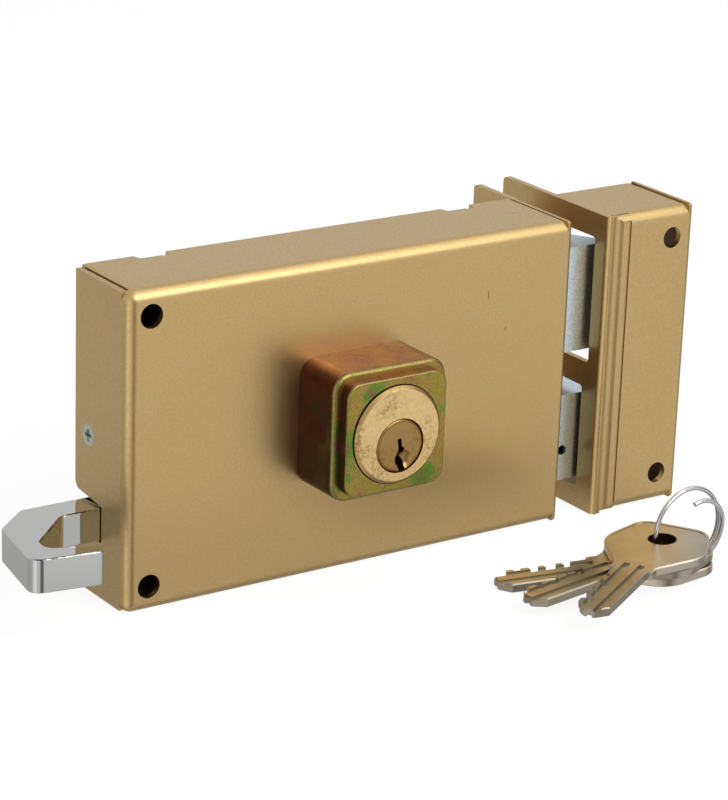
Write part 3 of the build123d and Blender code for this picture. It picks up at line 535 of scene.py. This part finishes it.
@dataclass(frozen=True)
class GoldPaint(Finish):
    """Metallic gold paint with a fine sanded texture and a few nicks.

    Attributes:
        nicks: place and half size in millimetres of each nick.
        shadow: share of the colour that is left on dark flakes.
        flakes: how strong the flakes are.
        clouds: how strong the broad unevenness is.
        nick_share: how strong the nicks are.
    """

    nicks: Marks = ()
    shadow: float = 0.72
    flakes: float = 0.3
    clouds: float = 0.06
    nick_share: float = 0.7

    def dress(self, nodes: Nodes, shader: bpy.types.Node) -> None:
        """Add flakes, a slightly uneven skin and the nicks.

        Args:
            nodes: the material's nodes.
            shader: the Principled shader.
        """
        grain = GRAIN.place(nodes, fine_scale=1900.0, broad_scale=60.0, fine_share=0.93)
        dark = tuple(value * self.shadow for value in self.colour)
        flake = nodes.mix(nodes.times(grain["Speck"], self.flakes), self.colour, dark)
        cloudy = nodes.mix(nodes.times(grain["Broad"], self.clouds), flake, dark)
        nicked = marked(nodes, cloudy, self.nicks, self.nick_share, linear(84, 62, 36))
        self.coat(nodes, shader, nicked, grain["Speck"])
        self.relief(nodes, shader, grain["Height"], depth=0.03 * MM, strength=0.45)


@dataclass(frozen=True)
class YellowZinc(Finish):
    """Yellow passivated steel whose colours shift like oil on water.

    Attributes:
        soft_share: share of the broad noise in the colour bands.
        highlight_gain: how strong the painted highlight along the rounded edges is.
        specks: how strong the fine dark specks are.
    """

    soft_share: float = 0.8
    highlight_gain: float = 2.4
    specks: float = 0.38
    dulling: float = 0.18

    def dress(self, nodes: Nodes, shader: bpy.types.Node) -> None:
        """Lay bands of interference colours over the flat front and the sides, with painted shade on the sides
        and a painted highlight along the rounded edges.

        Args:
            nodes: the material's nodes.
            shader: the Principled shader.
        """
        place = nodes.coords()
        soft = nodes.noise(place, scale=95.0, detail=2.0, roughness=0.45)
        fine = nodes.noise(place, scale=420.0, detail=3.0, roughness=0.6)
        blend = nodes.math("ADD", nodes.times(soft, self.soft_share), nodes.times(fine, 1 - self.soft_share))
        facing = nodes.split(nodes.coords("Normal"))
        towards = nodes.math("POWER", nodes.math("ABSOLUTE", facing["Y"]), 2.0)
        above = nodes.math("POWER", nodes.math("MAXIMUM", facing["Z"], 0.0), 3.0)
        front = self.ramp(nodes, blend, (
            (0.32, linear(140, 92, 76)), (0.40, linear(166, 130, 72)), (0.46, linear(158, 144, 60)),
            (0.53, linear(166, 136, 76)), (0.60, linear(98, 144, 52)), (0.68, linear(140, 100, 76))))
        # Painted shade: the sides get much darker bands than the front.
        side = self.ramp(nodes, blend, (
            (0.32, linear(44, 32, 22)), (0.42, linear(66, 30, 24)), (0.50, linear(86, 38, 30)),
            (0.58, linear(66, 48, 26)), (0.70, linear(98, 78, 46))))
        roof = self.ramp(nodes, blend, (
            (0.36, linear(154, 112, 72)), (0.46, linear(148, 98, 78)), (0.54, linear(134, 88, 88)),
            (0.62, linear(156, 120, 84))))
        roof_and_shaded_sides = nodes.mix(above, side, roof)
        colour = nodes.mix(towards, roof_and_shaded_sides, front)
        # Painted highlight along the rounded edges between the front and the other faces.
        edge_highlight = nodes.times(nodes.math("SUBTRACT", 1.0, towards), towards)
        colour = nodes.mix(nodes.times(edge_highlight, self.highlight_gain), colour, linear(150, 146, 84))
        specks = nodes.band(nodes.noise(place, scale=1700.0, detail=3.0, roughness=0.65), low=0.4, high=0.68)
        colour = nodes.mix(nodes.times(specks, self.specks), colour, linear(56, 40, 26))
        self.coat(nodes, shader, colour, fine)
        self.relief(nodes, shader, fine, depth=0.02 * MM, strength=0.35)

    def ramp(self, nodes: Nodes, value: Socket, stops: tuple[tuple[float, Colour], ...]) -> Socket:
        """Turn a value into a colour through several stops.

        Args:
            nodes: the material's nodes.
            value: the value from 0 to 1.
            stops: place and colour of each stop.

        Returns:
            The colour socket.
        """
        node = nodes.add("ShaderNodeValToRGB")
        nodes.join(value, node.inputs[0])
        elements = node.color_ramp.elements
        while len(elements) < len(stops):
            elements.new(0.5)
        for element, (place, colour) in zip(elements, stops):
            element.position = place
            element.color = (*colour, 1.0)
        return node.outputs[0]


@dataclass(frozen=True)
class TurnedBrass(Finish):
    """Turned brass with lathe marks, handling stains, a painted dark reflection on its chamfer and painted shade
    in the gap round it.

    Attributes:
        centre: a point on the turning axis.
        rim: the piece's outer radius in metres.
        spots: how strong the stains are.
        clean_share: share of the stains outside the patches.
        chamfer_reflection: how strong the painted dark reflection on the chamfer is.
        chamfer: where the chamfer's painted reflection starts and is full, in metres inside the rim.
        gap: the same for the painted shade in the gap round the piece.
    """

    centre: Point = (0.0, 0.0, 0.0)
    rim: float = 1.0
    spots: float = 0.7
    clean_share: float = 0.3
    chamfer_reflection: float = 0.6
    dulling: float = 0.2
    chamfer: Range = (0.95 * MM, 0.8 * MM)
    gap: Range = (0.22 * MM, 0.1 * MM)

    def dress(self, nodes: Nodes, shader: bpy.types.Node) -> None:
        """Add rings round the axis, speckled stains, a painted dark reflection on the chamfer and painted shade
        in the gap round the piece.

        Args:
            nodes: the material's nodes.
            shader: the Principled shader.
        """
        place = nodes.coords()
        away = nodes.vector("SUBTRACT", place, self.centre)
        radius = nodes.measure("LENGTH", nodes.vector("MULTIPLY", away, (1.0, 0.0, 1.0)))
        rings = nodes.add("ShaderNodeTexNoise", noise_dimensions="1D")
        nodes.feed_named(rings, w=radius, scale=2600.0, detail=3.0)
        stains = nodes.band(nodes.noise(place, scale=1300.0, detail=5.0, roughness=0.75), low=0.43, high=0.66)
        patches = nodes.band(nodes.noise(place, scale=150.0), low=0.42, high=0.62)
        spots = nodes.times(stains, nodes.math("ADD", patches, self.clean_share))
        aged = nodes.mix(nodes.times(spots, self.spots), self.colour, linear(150, 112, 62))
        # Painted dark reflection on the chamfer near the rim.
        rim = nodes.band(radius, *(self.rim - inside for inside in self.chamfer))
        with_chamfer_reflection = nodes.mix(nodes.times(rim, self.chamfer_reflection), aged, linear(126, 94, 46))
        # Painted shade in the gap round the piece.
        gap = nodes.band(radius, *(self.rim - inside for inside in self.gap))
        self.coat(nodes, shader, nodes.mix(gap, with_chamfer_reflection, linear(30, 20, 10)), spots)
        self.relief(nodes, shader, rings.outputs["Fac"], depth=0.015 * MM, strength=0.3)


@dataclass(frozen=True)
class Chrome(Finish):
    """Bright plating with a few pits, a slight ripple, a faint mould line and a painted dark reflection along its
    upper front edge.

    Attributes:
        line_height: height of the mould line in metres.
        line_half: half widths in metres where the line ends and where it is full.
        line_share: how strong the line is.
        reflection_share: how strong the painted dark reflection along the upper front edge is.
    """

    line_height: float = 0.0
    line_half: Range = (0.22 * MM, 0.06 * MM)
    line_share: float = 0.5
    reflection_share: float = 0.92
    dulling: float = 0.5

    def dress(self, nodes: Nodes, shader: bpy.types.Node) -> None:
        """Add ripple, pits, a painted dark reflection along the upper front edge and the mould line.

        Args:
            nodes: the material's nodes.
            shader: the Principled shader.
        """
        place = nodes.coords()
        ripple = nodes.noise(place, scale=130.0, detail=1.0)
        facing = nodes.split(nodes.coords("Normal"))
        ahead = nodes.math("MAXIMUM", nodes.times(facing["Y"], -1.0), 0.0)
        above = nodes.math("MAXIMUM", facing["Z"], 0.0)
        # Painted dark reflection along the upper front edge, where faces look forward and up, broken into
        # patches.
        edge = nodes.band(nodes.times(ahead, above), low=0.12, high=0.4)
        dark_reflection = nodes.times(edge, nodes.band(nodes.noise(place, scale=420.0, detail=3.0), low=0.36, high=0.56))
        height = nodes.split(place)["Z"]
        off = nodes.math("ABSOLUTE", nodes.math("SUBTRACT", height, self.line_height))
        line = nodes.times(nodes.band(off, *self.line_half),
                           nodes.band(nodes.noise(place, scale=260.0), low=0.42, high=0.62))
        marks = nodes.math("MAXIMUM", nodes.times(dark_reflection, self.reflection_share), nodes.times(line, self.line_share))
        pits = nodes.band(nodes.noise(place, scale=1500.0), low=0.74, high=0.8)
        self.coat(nodes, shader, nodes.mix(marks, self.colour, linear(44, 42, 38)), pits)
        self.relief(nodes, shader, nodes.math("SUBTRACT", ripple, pits), depth=0.08 * MM, strength=0.3)


@dataclass(frozen=True)
class CastZinc(Finish):
    """Bare metal with a fine crystalline grain.

    Attributes:
        pits: place and half size in millimetres of each drilled pit, painted dark as the shade inside it.
        shades: shares of the colour on dark and on light grains.
        calm: how strong the patches without grain are.
    """

    pits: Marks = ()
    shades: Range = (0.78, 1.15)
    calm: float = 0.3
    dulling: float = 0.15

    def dress(self, nodes: Nodes, shader: bpy.types.Node) -> None:
        """Add light and dark grains and a grained bump.

        Args:
            nodes: the material's nodes.
            shader: the Principled shader.
        """
        grain = GRAIN.place(nodes, fine_scale=2600.0, broad_scale=900.0, fine_share=0.75)
        dark, light = (tuple(min(1.0, value * shade) for value in self.colour) for shade in self.shades)
        spotted = nodes.mix(grain["Speck"], dark, light)
        even = nodes.mix(nodes.times(grain["Broad"], self.calm), spotted, self.colour)
        # Painted shade: each drilled pit is a near-black spot in the colour, not a hole in the shape.
        drilled = marked(nodes, even, self.pits, 1.0, linear(16, 14, 10))
        self.coat(nodes, shader, drilled, grain["Speck"])
        self.relief(nodes, shader, grain["Height"], depth=0.05 * MM, strength=0.6)


@dataclass(frozen=True)
class SatinNickel(Finish):
    """Plated metal brushed along one direction.

    Attributes:
        heading: direction of the brush marks in degrees about Z.
        hole: middle of the ring hole in metres.
        hole_radius: its radius in metres.
        blade: how far from that middle the blade's wear starts and is full, in metres.
        hole_darkening: how far past the hole's edge the darkening ends and is full, in metres.
        tarnish: how strong the warm tarnish is.
        use: how strong the wear of the blade is.
    """

    heading: float = 0.0
    hole: Point = (0.0, 0.0, 0.0)
    hole_radius: float = 3.3 * MM
    blade: Range = (17.0 * MM, 23.0 * MM)
    hole_darkening: Range = (0.18 * MM, 0.05 * MM)
    tarnish: float = 0.45
    use: float = 0.6
    dulling: float = 0.16

    def dress(self, nodes: Nodes, shader: bpy.types.Node) -> None:
        """Add drawn marks, tarnish and a darker colour in and round the ring hole.

        Args:
            nodes: the material's nodes.
            shader: the Principled shader.
        """
        place = nodes.coords()
        along = nodes.stretch(place, scale=Vector((60.0, 2600.0, 2600.0)),
                              turn=Vector((0.0, 0.0, -math.radians(self.heading))))
        drawn = nodes.noise(along, scale=1.0)
        tarnish = nodes.band(nodes.noise(place, scale=160.0, detail=3.0, roughness=0.6), low=0.42, high=0.75)
        base = nodes.mix(nodes.times(tarnish, self.tarnish), self.colour, linear(158, 136, 100))
        flat = nodes.vector("MULTIPLY", place, (1.0, 1.0, 0.0))
        away = nodes.measure("DISTANCE", flat, (*self.hole[:2], 0.0))
        blade = nodes.band(away, *self.blade)
        used = nodes.mix(nodes.times(blade, self.use), base, linear(138, 128, 108))
        # Darker inside the ring hole and just round its edge.
        hole_darkening = nodes.band(away, *(self.hole_radius + past for past in self.hole_darkening))
        self.coat(nodes, shader, nodes.mix(hole_darkening, used, linear(104, 82, 56)), drawn)
        self.relief(nodes, shader, drawn, depth=0.012 * MM, strength=0.4)


# Corners closer than MERGE_DISTANCE are one corner, and edges under SHORTEST_EDGE are dropped.
MERGE_DISTANCE = 0.002 * MM
SHORTEST_EDGE = 0.001 * MM
# Edges that turn by more degrees than this are eased.
EASED_FROM = 40.0
# How much more a large face counts than a small one in the shading.
FLAT_LEAD = 80
# Least cosine between the normals of two faces of one flat area.
SAME_PLANE = 0.99999


def show(name: str, data: bpy.types.ID) -> bpy.types.Object:
    """Put data into the scene as an object at the origin.

    Args:
        name: the object's name.
        data: its mesh, lamp or camera.

    Returns:
        The new object.
    """
    made = bpy.data.objects.new(name, data)
    bpy.context.scene.collection.objects.link(made)
    return made


def shown_copy(node: str, bevel: float = 0.0, sharp_angle: float = 30.0) -> bpy.types.Object:
    """Make a smooth, merged copy of a node that stands for it.

    Args:
        node: the node's name.
        bevel: width of the eased edges in metres, or 0.
        sharp_angle: edges that turn by more than this many degrees stay crisp.

    Returns:
        The new object, at the origin.
    """
    shape = bmesh.new()
    shape.from_mesh(frame["nodes"][node].data)
    bmesh.ops.remove_doubles(shape, verts=shape.verts, dist=MERGE_DISTANCE)
    bmesh.ops.dissolve_degenerate(shape, edges=shape.edges, dist=SHORTEST_EDGE)
    bmesh.ops.recalc_face_normals(shape, faces=shape.faces)
    mesh = bpy.data.meshes.new(f"{node}_shown")
    shape.to_mesh(mesh)
    shape.free()
    for face in mesh.polygons:
        face.use_smooth = True
    mesh.set_sharp_from_angle(angle=math.radians(sharp_angle))
    made = show(f"{node}_shown", mesh)
    if bevel:
        eased = made.modifiers.new("eased_edges", "BEVEL")
        eased.width = bevel
        eased.segments = 2
        eased.limit_method = "ANGLE"
        eased.angle_limit = math.radians(EASED_FROM)
        eased.harden_normals = False
        level = made.modifiers.new("flat_faces_lead", "WEIGHTED_NORMAL")
        level.mode = "FACE_AREA"
        level.weight = FLAT_LEAD
        level.keep_sharp = True
    else:
        flat_areas_lead(mesh, sharp_angle)
    return made


def spread(start: bmesh.types.BMFace, number: int, group: list[int]) -> float:
    """Number every face of one flat area.

    Args:
        start: any face of the area.
        number: the area's number.
        group: the number of each face, negative where it has none yet.

    Returns:
        The area in square metres.
    """
    group[start.index] = number
    waiting, area = [start], 0.0
    while waiting:
        here = waiting.pop()
        area += here.calc_area()
        for other in (face for edge in here.edges for face in edge.link_faces):
            if group[other.index] < 0 and other.normal.dot(start.normal) > SAME_PLANE:
                group[other.index] = number
                waiting.append(other)
    return area


def flat_areas_lead(mesh: bpy.types.Mesh, sharp_angle: float) -> None:
    """Shade each corner mostly like the largest flat area that meets there.

    Args:
        mesh: the mesh, whose faces are triangles.
        sharp_angle: areas that turn by more than this many degrees don't blend.
    """
    shape = bmesh.new()
    shape.from_mesh(mesh)
    group, areas = [-1] * len(shape.faces), []
    for face in shape.faces:
        if group[face.index] < 0:
            areas.append(spread(face, len(areas), group))
    limit = math.cos(math.radians(sharp_angle))
    normals = []
    for face in shape.faces:
        for vertex in face.verts:
            near = {group[other.index]: other.normal for other in vertex.link_faces
                    if other.normal.dot(face.normal) > limit}
            led = sum((normal * areas[number] for number, normal in near.items()), Vector())
            normals.append(led.normalized())
    shape.free()
    mesh.normals_split_custom_set(normals)


def shade_inside(piece: bpy.types.Object, node: str, lining_and_shade: bpy.types.Material, sheet: float) -> None:
    """Give the inner faces of a folded shell a darker skin, for their bare sheet and as painted shade inside the
    shell.

    Args:
        piece: the shown copy.
        node: the node that it stands for.
        lining_and_shade: the darker skin of the inner faces, bare sheet with painted shade.
        sheet: the sheet's thickness in metres.
    """
    low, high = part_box(node)
    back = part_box("back_plate")[1].y
    piece.data.materials.append(lining_and_shade)
    inner_share = 0.8
    edge = inner_share * sheet
    for face in piece.data.polygons:
        middle = face.center
        deep = min(middle.x - low.x, high.x - middle.x, middle.z - low.z, high.z - middle.z, middle.y - low.y)
        rear = max(piece.data.vertices[corner].co.y for corner in face.vertices)
        if deep > edge and middle.y < back - edge and rear < back + edge:
            face.material_index = 1


def paint(piece: bpy.types.Object, material: bpy.types.Material) -> None:
    """Give a piece one material."""
    piece.data.materials.clear()
    piece.data.materials.append(material)


@cache
def material_of(finish: Finish) -> bpy.types.Material:
    """Give the material of a finish, made once."""
    return finish.material()


@dataclass
class SubAssembly:
    """A group of nodes that share a body.

    Attributes:
        body: the body that new pieces ride on.
        smooth: nodes shown by a smooth copy, with the width of their eased edges.
        plain: nodes that keep their own mesh.
    """

    body: Body
    smooth: dict[str, float] = field(default_factory=dict)
    plain: tuple[str, ...] = ()

    def finish_of(self, node: str) -> Finish:
        """Give the finish of one node."""
        raise NotImplementedError

    def build(self) -> list[bpy.types.Object]:
        """Show and dress every node.

        Returns:
            The shown objects.
        """
        made = []
        for node, bevel in self.smooth.items():
            piece = shown_copy(node, bevel)
            paint(piece, material_of(self.finish_of(node)))
            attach(piece, self.body.value)
            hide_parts(node)
            made.append(piece)
        for node in self.plain:
            paint(frame["nodes"][node], material_of(self.finish_of(node)))
            made.append(frame["nodes"][node])
        return made


GOLD = GoldPaint("gold_paint_skin", linear(200, 171, 118), metallic=1.0, roughness=0.33, nicks=(
    ((105.5, -10.7, 37.5), (0.35, 0.35, 0.35)), ((90.0, -23.2, 23.0), (0.14, 0.4, 1.3)),
    ((95.5, -23.2, 14.0), (0.12, 0.4, 0.8))))
# Darker inner skin of the shells: bare sheet, deepened as painted shade inside the case and the keeper.
LINING_AND_SHADE = Finish("shell_lining_and_shade", linear(108, 86, 62), metallic=0.6, roughness=0.5)
ZINC_SHEET = CastZinc("zinc_sheet_skin", linear(190, 192, 192), metallic=0.95, roughness=0.3)
ZINC_CAST = CastZinc("zinc_cast_skin", linear(208, 222, 230), metallic=1.0, roughness=0.28)
SCREW = Finish("screw_plating", linear(182, 184, 172), roughness=0.25)
STEEL = Finish("bright_steel", linear(186, 188, 192), roughness=0.28)
SPRING_STEEL = Finish("spring_steel_skin", linear(150, 152, 158), roughness=0.3)
CHROME = Chrome("chrome_skin", linear(192, 193, 190), roughness=0.05, line_height=-24.2 * MM)
PASSIVATED = YellowZinc("yellow_zinc_skin", linear(160, 130, 80), metallic=0.9, roughness=0.24)


@dataclass
class LockCase(SubAssembly):
    """Gold case, keeper, back plate, screw and everything fixed inside.

    Attributes:
        shells: the folded pieces, gold outside and darker inside, where bare sheet carries painted shade.
        sheet: thickness of their sheet in metres.
    """

    body: Body = Body.CASE
    shells: tuple[str, ...] = ("case_cover", "keeper_box", "keeper_strike")
    sheet: float = 1.5 * MM
    smooth: dict[str, float] = field(default_factory=lambda: {
        "case_cover": 0.0, "keeper_box": 0.0, "keeper_strike": 0.0, "side_screw": 0.06 * MM})
    plain: tuple[str, ...] = (
        "back_plate", "housing_screws", "driver_pins", "pin_springs", "chamber_plugs", "guide_posts",
        "post_screws", "spring_bracket", "spring_rod", "latch_spring", "lever_pivot", "bolt_spring")

    def finish_of(self, node: str) -> Finish:
        """Give gold to the shells and bare metal to the rest."""
        bare = {"back_plate": ZINC_SHEET, "spring_bracket": ZINC_SHEET, "side_screw": SCREW,
                "pin_springs": SPRING_STEEL, "latch_spring": SPRING_STEEL, "bolt_spring": SPRING_STEEL}
        return GOLD if node in self.shells else bare.get(node, STEEL)

    def build(self) -> list[bpy.types.Object]:
        """Show every node and give the folded shells their darker inner skin with painted shade.

        Returns:
            The shown objects.
        """
        made = super().build()
        for node, piece in zip(self.smooth, made):
            if node in self.shells:
                shade_inside(piece, node, material_of(LINING_AND_SHADE), self.sheet)
        return made


@dataclass
class Cylinder(SubAssembly):
    """Housing and the fixed brass of the cylinder."""

    body: Body = Body.CASE
    smooth: dict[str, float] = field(default_factory=lambda: {"cylinder_housing": 0.0, "cylinder_body": 0.0})
    plain: tuple[str, ...] = ("cylinder_nut",)

    def finish_of(self, node: str) -> Finish:
        """Give the housing its passivated skin and the rest brass."""
        brass = brass_about("cylinder_body", linear(228, 197, 140))
        return PASSIVATED if node == "cylinder_housing" else brass


@dataclass
class Plug(SubAssembly):
    """Turning plug with its cam."""

    body: Body = Body.PLUG
    smooth: dict[str, float] = field(default_factory=lambda: {"cylinder_plug": 0.05 * MM})
    plain: tuple[str, ...] = ("key_pins", "cam", "cam_clip")

    def finish_of(self, node: str) -> Finish:
        """Give the plug brass and the cam steel."""
        brass = brass_about("cylinder_plug", linear(164, 133, 84))
        return brass if node in ("cylinder_plug", "key_pins") else STEEL


@dataclass
class DeadBolt(SubAssembly):
    """Square bolt and its tail.

    Attributes:
        pit_place: middle of the drilled pit in millimetres, out from the case's door side and in
            from the bolt's front and bottom.
        pit_half: half size of its painted shade in millimetres.
    """

    body: Body = Body.DEAD_BOLT
    smooth: dict[str, float] = field(default_factory=lambda: {"dead_bolt": 0.1 * MM})
    plain: tuple[str, ...] = ("dead_bolt_tail", "dead_bolt_rivets")
    pit_place: Point = (5.2, 3.0, 7.7)
    pit_half: Point = (2.6, 2.8, 2.6)

    def finish_of(self, node: str) -> Finish:
        """Give the head its cast grain and a drilled pit painted dark as its shade.

        Args:
            node: the node's name.

        Returns:
            Its finish.
        """
        if node != "dead_bolt":
            return ZINC_SHEET if node == "dead_bolt_tail" else STEEL
        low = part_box(node)[0] / MM
        out, back, up = self.pit_place
        place = (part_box("case_cover")[1].x / MM + out, low.y + back, low.z + up)
        return replace(ZINC_CAST, name="dead_bolt_skin", pits=((place, self.pit_half),))


@dataclass
class Latch(SubAssembly):
    """Latch, its slide and the chromed pull."""

    body: Body = Body.LATCH
    smooth: dict[str, float] = field(default_factory=lambda: {"latch_bolt": 0.1 * MM, "pull_handle": 0.0})
    plain: tuple[str, ...] = ("latch_slide", "latch_rivets", "slide_pin", "pull_pin")

    def finish_of(self, node: str) -> Finish:
        """Give the pull chrome and the latch its cast grain."""
        return {"latch_bolt": ZINC_CAST, "latch_slide": ZINC_SHEET, "pull_handle": CHROME}.get(node, STEEL)


@dataclass
class Lever(SubAssembly):
    """Lever between the key's cam and the latch slide."""

    body: Body = Body.LEVER
    plain: tuple[str, ...] = ("retract_lever",)

    def finish_of(self, node: str) -> Finish:
        """Give the lever bare sheet."""
        return ZINC_SHEET


@dataclass
class Key(SubAssembly):
    """One key on the ring, whose node has its body's name."""

    def __post_init__(self) -> None:
        """Name the key's node."""
        self.smooth = {self.body.value: 0.0}

    def finish_of(self, node: str) -> Finish:
        """Brush the key along its blade.

        Args:
            node: the node's name.

        Returns:
            Its finish.
        """
        low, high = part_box(node)
        hinge = next(joint["pos_m"] for joint in frame["joints"] if joint["child"] == node)
        middle = (low + high) / 2
        heading = math.degrees(math.atan2(middle.y - hinge[1], middle.x - hinge[0]))
        return SatinNickel(f"{node}_nickel", linear(182, 174, 158), roughness=0.24,
                           heading=round(heading, 1), hole=tuple(hinge))


@dataclass
class KeyRing(SubAssembly):
    """Open wire ring."""

    body: Body = Body.CASE
    smooth: dict[str, float] = field(default_factory=lambda: {"key_ring": 0.0})

    def finish_of(self, node: str) -> Finish:
        """Give the wire bright plating."""
        return Finish("ring_wire", linear(196, 196, 198), roughness=0.16)


def brass_about(node: str, colour: Colour) -> Finish:
    """Give brass turned about the middle of a node.

    Args:
        node: the node's name.
        colour: the brass's colour.

    Returns:
        The finish.
    """
    low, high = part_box(node)
    middle = tuple(round(value, 5) for value in (low + high) / 2)
    return TurnedBrass(f"{node}_brass", colour, roughness=0.3, centre=middle,
                       rim=round((high.x - low.x) / 2, 5))


@dataclass
class Studio:
    """Pale floor, soft lamps, white background and the camera.

    Attributes:
        eye: the camera's place in metres.
        heading: the camera's turn from +Y in radians.
        dip: how far it looks down in radians.
        roll: its roll in radians.
        lens: focal length in millimetres.
        sensor: width of its picture in millimetres.
        world_level: light of the world on the object.
        floor_half: half width of the floor in metres.
        floor_grey: the floor's own colour.
        floor_glow: its level for the camera, just enough for plain white.
        glow_share: share of that level where the floor is seen, against its shaded colour.
        shade: how much darker the floor near the object is in reflections.
        aim: where the lamps look, in metres.
    """

    eye: Vector = field(default_factory=lambda: Vector((-323.944, -573.052, 236.250)) * MM)
    heading: float = -0.6048
    dip: float = 0.3358
    roll: float = 0.0355
    lens: float = 140.07
    sensor: float = 36.0
    world_level: float = 0.5
    floor_half: float = 3.0
    floor_grey: float = 0.85
    floor_glow: float = 1.12
    glow_share: float = 0.8
    shade: float = 0.22
    aim: Vector = field(default_factory=lambda: Vector((0.06, 0.0, 0.0)))

    def build(self) -> None:
        """Make everything that isn't part of the object."""
        self.camera()
        self.world()
        self.floor()
        self.lamp("key_lamp", place=Vector((0.35, -1.1, 0.75)), size=0.9, power=10.0)
        self.lamp("bend_lamp", place=Vector((0.5, -0.3, 0.8)), size=0.7, power=1.4)

    def camera(self) -> None:
        """Place the camera as the photograph saw the lock."""
        sin, cos = math.sin, math.cos
        level = Vector((cos(self.heading), sin(self.heading), 0.0))
        ahead = Vector((-sin(self.heading), cos(self.heading), 0.0))
        forward = cos(self.dip) * ahead - Vector((0.0, 0.0, sin(self.dip)))
        upright = level.cross(forward)
        right = cos(self.roll) * level + sin(self.roll) * upright
        above = cos(self.roll) * upright - sin(self.roll) * level
        data = bpy.data.cameras.new("photo_camera")
        data.lens = self.lens
        data.sensor_width = self.sensor
        data.clip_start, data.clip_end = 0.01, 20.0
        camera = show("photo_camera", data)
        turn = Matrix((right, above, -forward)).transposed()
        camera.matrix_world = Matrix.Translation(self.eye) @ turn.to_4x4()
        bpy.context.scene.camera = camera

    def seen_plainly(self, nodes: Nodes, path: bpy.types.NodeOutputs) -> Socket:
        """Give 1 for rays that look at the background, and 0 for those that light the object."""
        seen = nodes.math("MAXIMUM", path["Is Camera Ray"], path["Is Glossy Ray"])
        return nodes.math("MAXIMUM", seen, path["Is Transmission Ray"])

    def seen_level(self, nodes: Nodes, path: bpy.types.NodeOutputs, plain: object, mirrored: Socket) -> Socket:
        """Give reflections their own level.

        Args:
            nodes: the material's nodes.
            path: the kinds of ray.
            plain: the level for other rays, a socket or a number.
            mirrored: the level for reflections.

        Returns:
            The level.
        """
        glossy = path["Is Glossy Ray"]
        others = nodes.times(nodes.math("SUBTRACT", 1.0, glossy), plain)
        return nodes.math("ADD", others, nodes.times(glossy, mirrored))

    def world(self) -> None:
        """Make a soft world that looks white."""
        world = bpy.data.worlds.new("studio_world")
        nodes = fresh_nodes(world)
        path = nodes.add("ShaderNodeLightPath").outputs
        room = ROOM.place(nodes, direction=nodes.coords("Generated"))
        plain = nodes.climb(self.seen_plainly(nodes, path), 1.0 - self.world_level, self.world_level)
        background = nodes.add("ShaderNodeBackground")
        nodes.join(self.seen_level(nodes, path, plain, room["Level"]), background.inputs["Strength"])
        nodes.add("ShaderNodeOutputWorld", background.outputs[0])
        bpy.context.scene.world = world

    def floor(self) -> None:
        """Make a pale floor that keeps the object's soft shadow."""
        low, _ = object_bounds()
        shape = bmesh.new()
        bmesh.ops.create_grid(shape, x_segments=1, y_segments=1, size=self.floor_half)
        bmesh.ops.translate(shape, verts=shape.verts, vec=(0.0, 0.0, low.z))
        mesh = bpy.data.meshes.new("studio_floor")
        shape.to_mesh(mesh)
        shape.free()
        floor = show("studio_floor", mesh)
        floor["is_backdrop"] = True
        paint(floor, self.floor_material())

    def floor_material(self) -> bpy.types.Material:
        """Make a matt skin that is white for the camera apart from its shadows.

        Returns:
            The new material.
        """
        made = bpy.data.materials.new("studio_floor")
        nodes = fresh_nodes(made)
        matt = nodes.add("ShaderNodeBsdfDiffuse", (self.floor_grey,) * 3)
        path = nodes.add("ShaderNodeLightPath").outputs
        here = nodes.add("ShaderNodeNewGeometry").outputs
        room = ROOM.place(nodes, direction=nodes.vector("MULTIPLY", here["Incoming"], (-1.0, -1.0, -1.0)))
        shaded = self.near_the_lock(nodes, here["Position"])
        mirrored = nodes.times(room["Level"], shaded)
        glow = nodes.add("ShaderNodeEmission")
        nodes.join(self.seen_level(nodes, path, self.floor_glow, mirrored), glow.inputs["Strength"])
        share = nodes.times(self.seen_plainly(nodes, path), self.glow_share)
        mixed = nodes.add("ShaderNodeMixShader", share, matt.outputs[0], glow.outputs[0])
        nodes.add("ShaderNodeOutputMaterial", mixed.outputs[0])
        return made

    def near_the_lock(self, nodes: Nodes, position: Socket) -> Socket:
        """Shade the floor's reflected level in front of the lock and under the keys.

        Each limit is a pair in metres: where the shade is none and where it is full.

        Args:
            nodes: the floor's nodes.
            position: where the floor is hit.

        Returns:
            The share of the level that is left.
        """
        keys_from, keys_right_of, front_from = (-0.15, -0.05), (0.09, 0.12), (-0.1, -0.06)
        left_of, up_to = (0.155, 0.135), (0.07, 0.03)
        spot = nodes.split(position)
        by_keys = nodes.times(nodes.band(spot["Y"], *keys_from), nodes.band(spot["X"], *keys_right_of))
        near = nodes.math("MAXIMUM", by_keys, nodes.band(spot["Y"], *front_from))
        for limit in (nodes.band(spot["X"], *left_of), nodes.band(spot["Y"], *up_to)):
            near = nodes.times(near, limit)
        return nodes.math("SUBTRACT", 1.0, nodes.times(near, self.shade))

    def lamp(self, name: str, place: Vector, size: float, power: float) -> None:
        """Add a soft square lamp that looks at the object.

        Args:
            name: the lamp's name.
            place: where it stands.
            size: its side in metres.
            power: its power in watts.
        """
        data = bpy.data.lights.new(name, "AREA")
        data.energy = power
        data.size = size
        lamp = show(name, data)
        lamp.location = place
        lamp.rotation_mode = "QUATERNION"
        lamp.rotation_quaternion = (self.aim - place).to_track_quat("-Z", "Y")


def main() -> None:
    """Build every sub-assembly in order."""
    logging.basicConfig(level=logging.INFO, format="%(name)s %(message)s")
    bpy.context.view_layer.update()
    bpy.context.scene.view_settings.view_transform = "Standard"
    parts = [LockCase(), Cylinder(), Plug(), DeadBolt(), Latch(), Lever(),
             Key(Body.KEY_1), Key(Body.KEY_2), Key(Body.KEY_3), KeyRing()]
    for part in parts:
        for piece in part.build():
            LOG.info("%s: %s, %d faces", type(part).__name__, piece.name, len(piece.data.polygons))
    Studio().build()


if __name__ == "__main__":
    main()
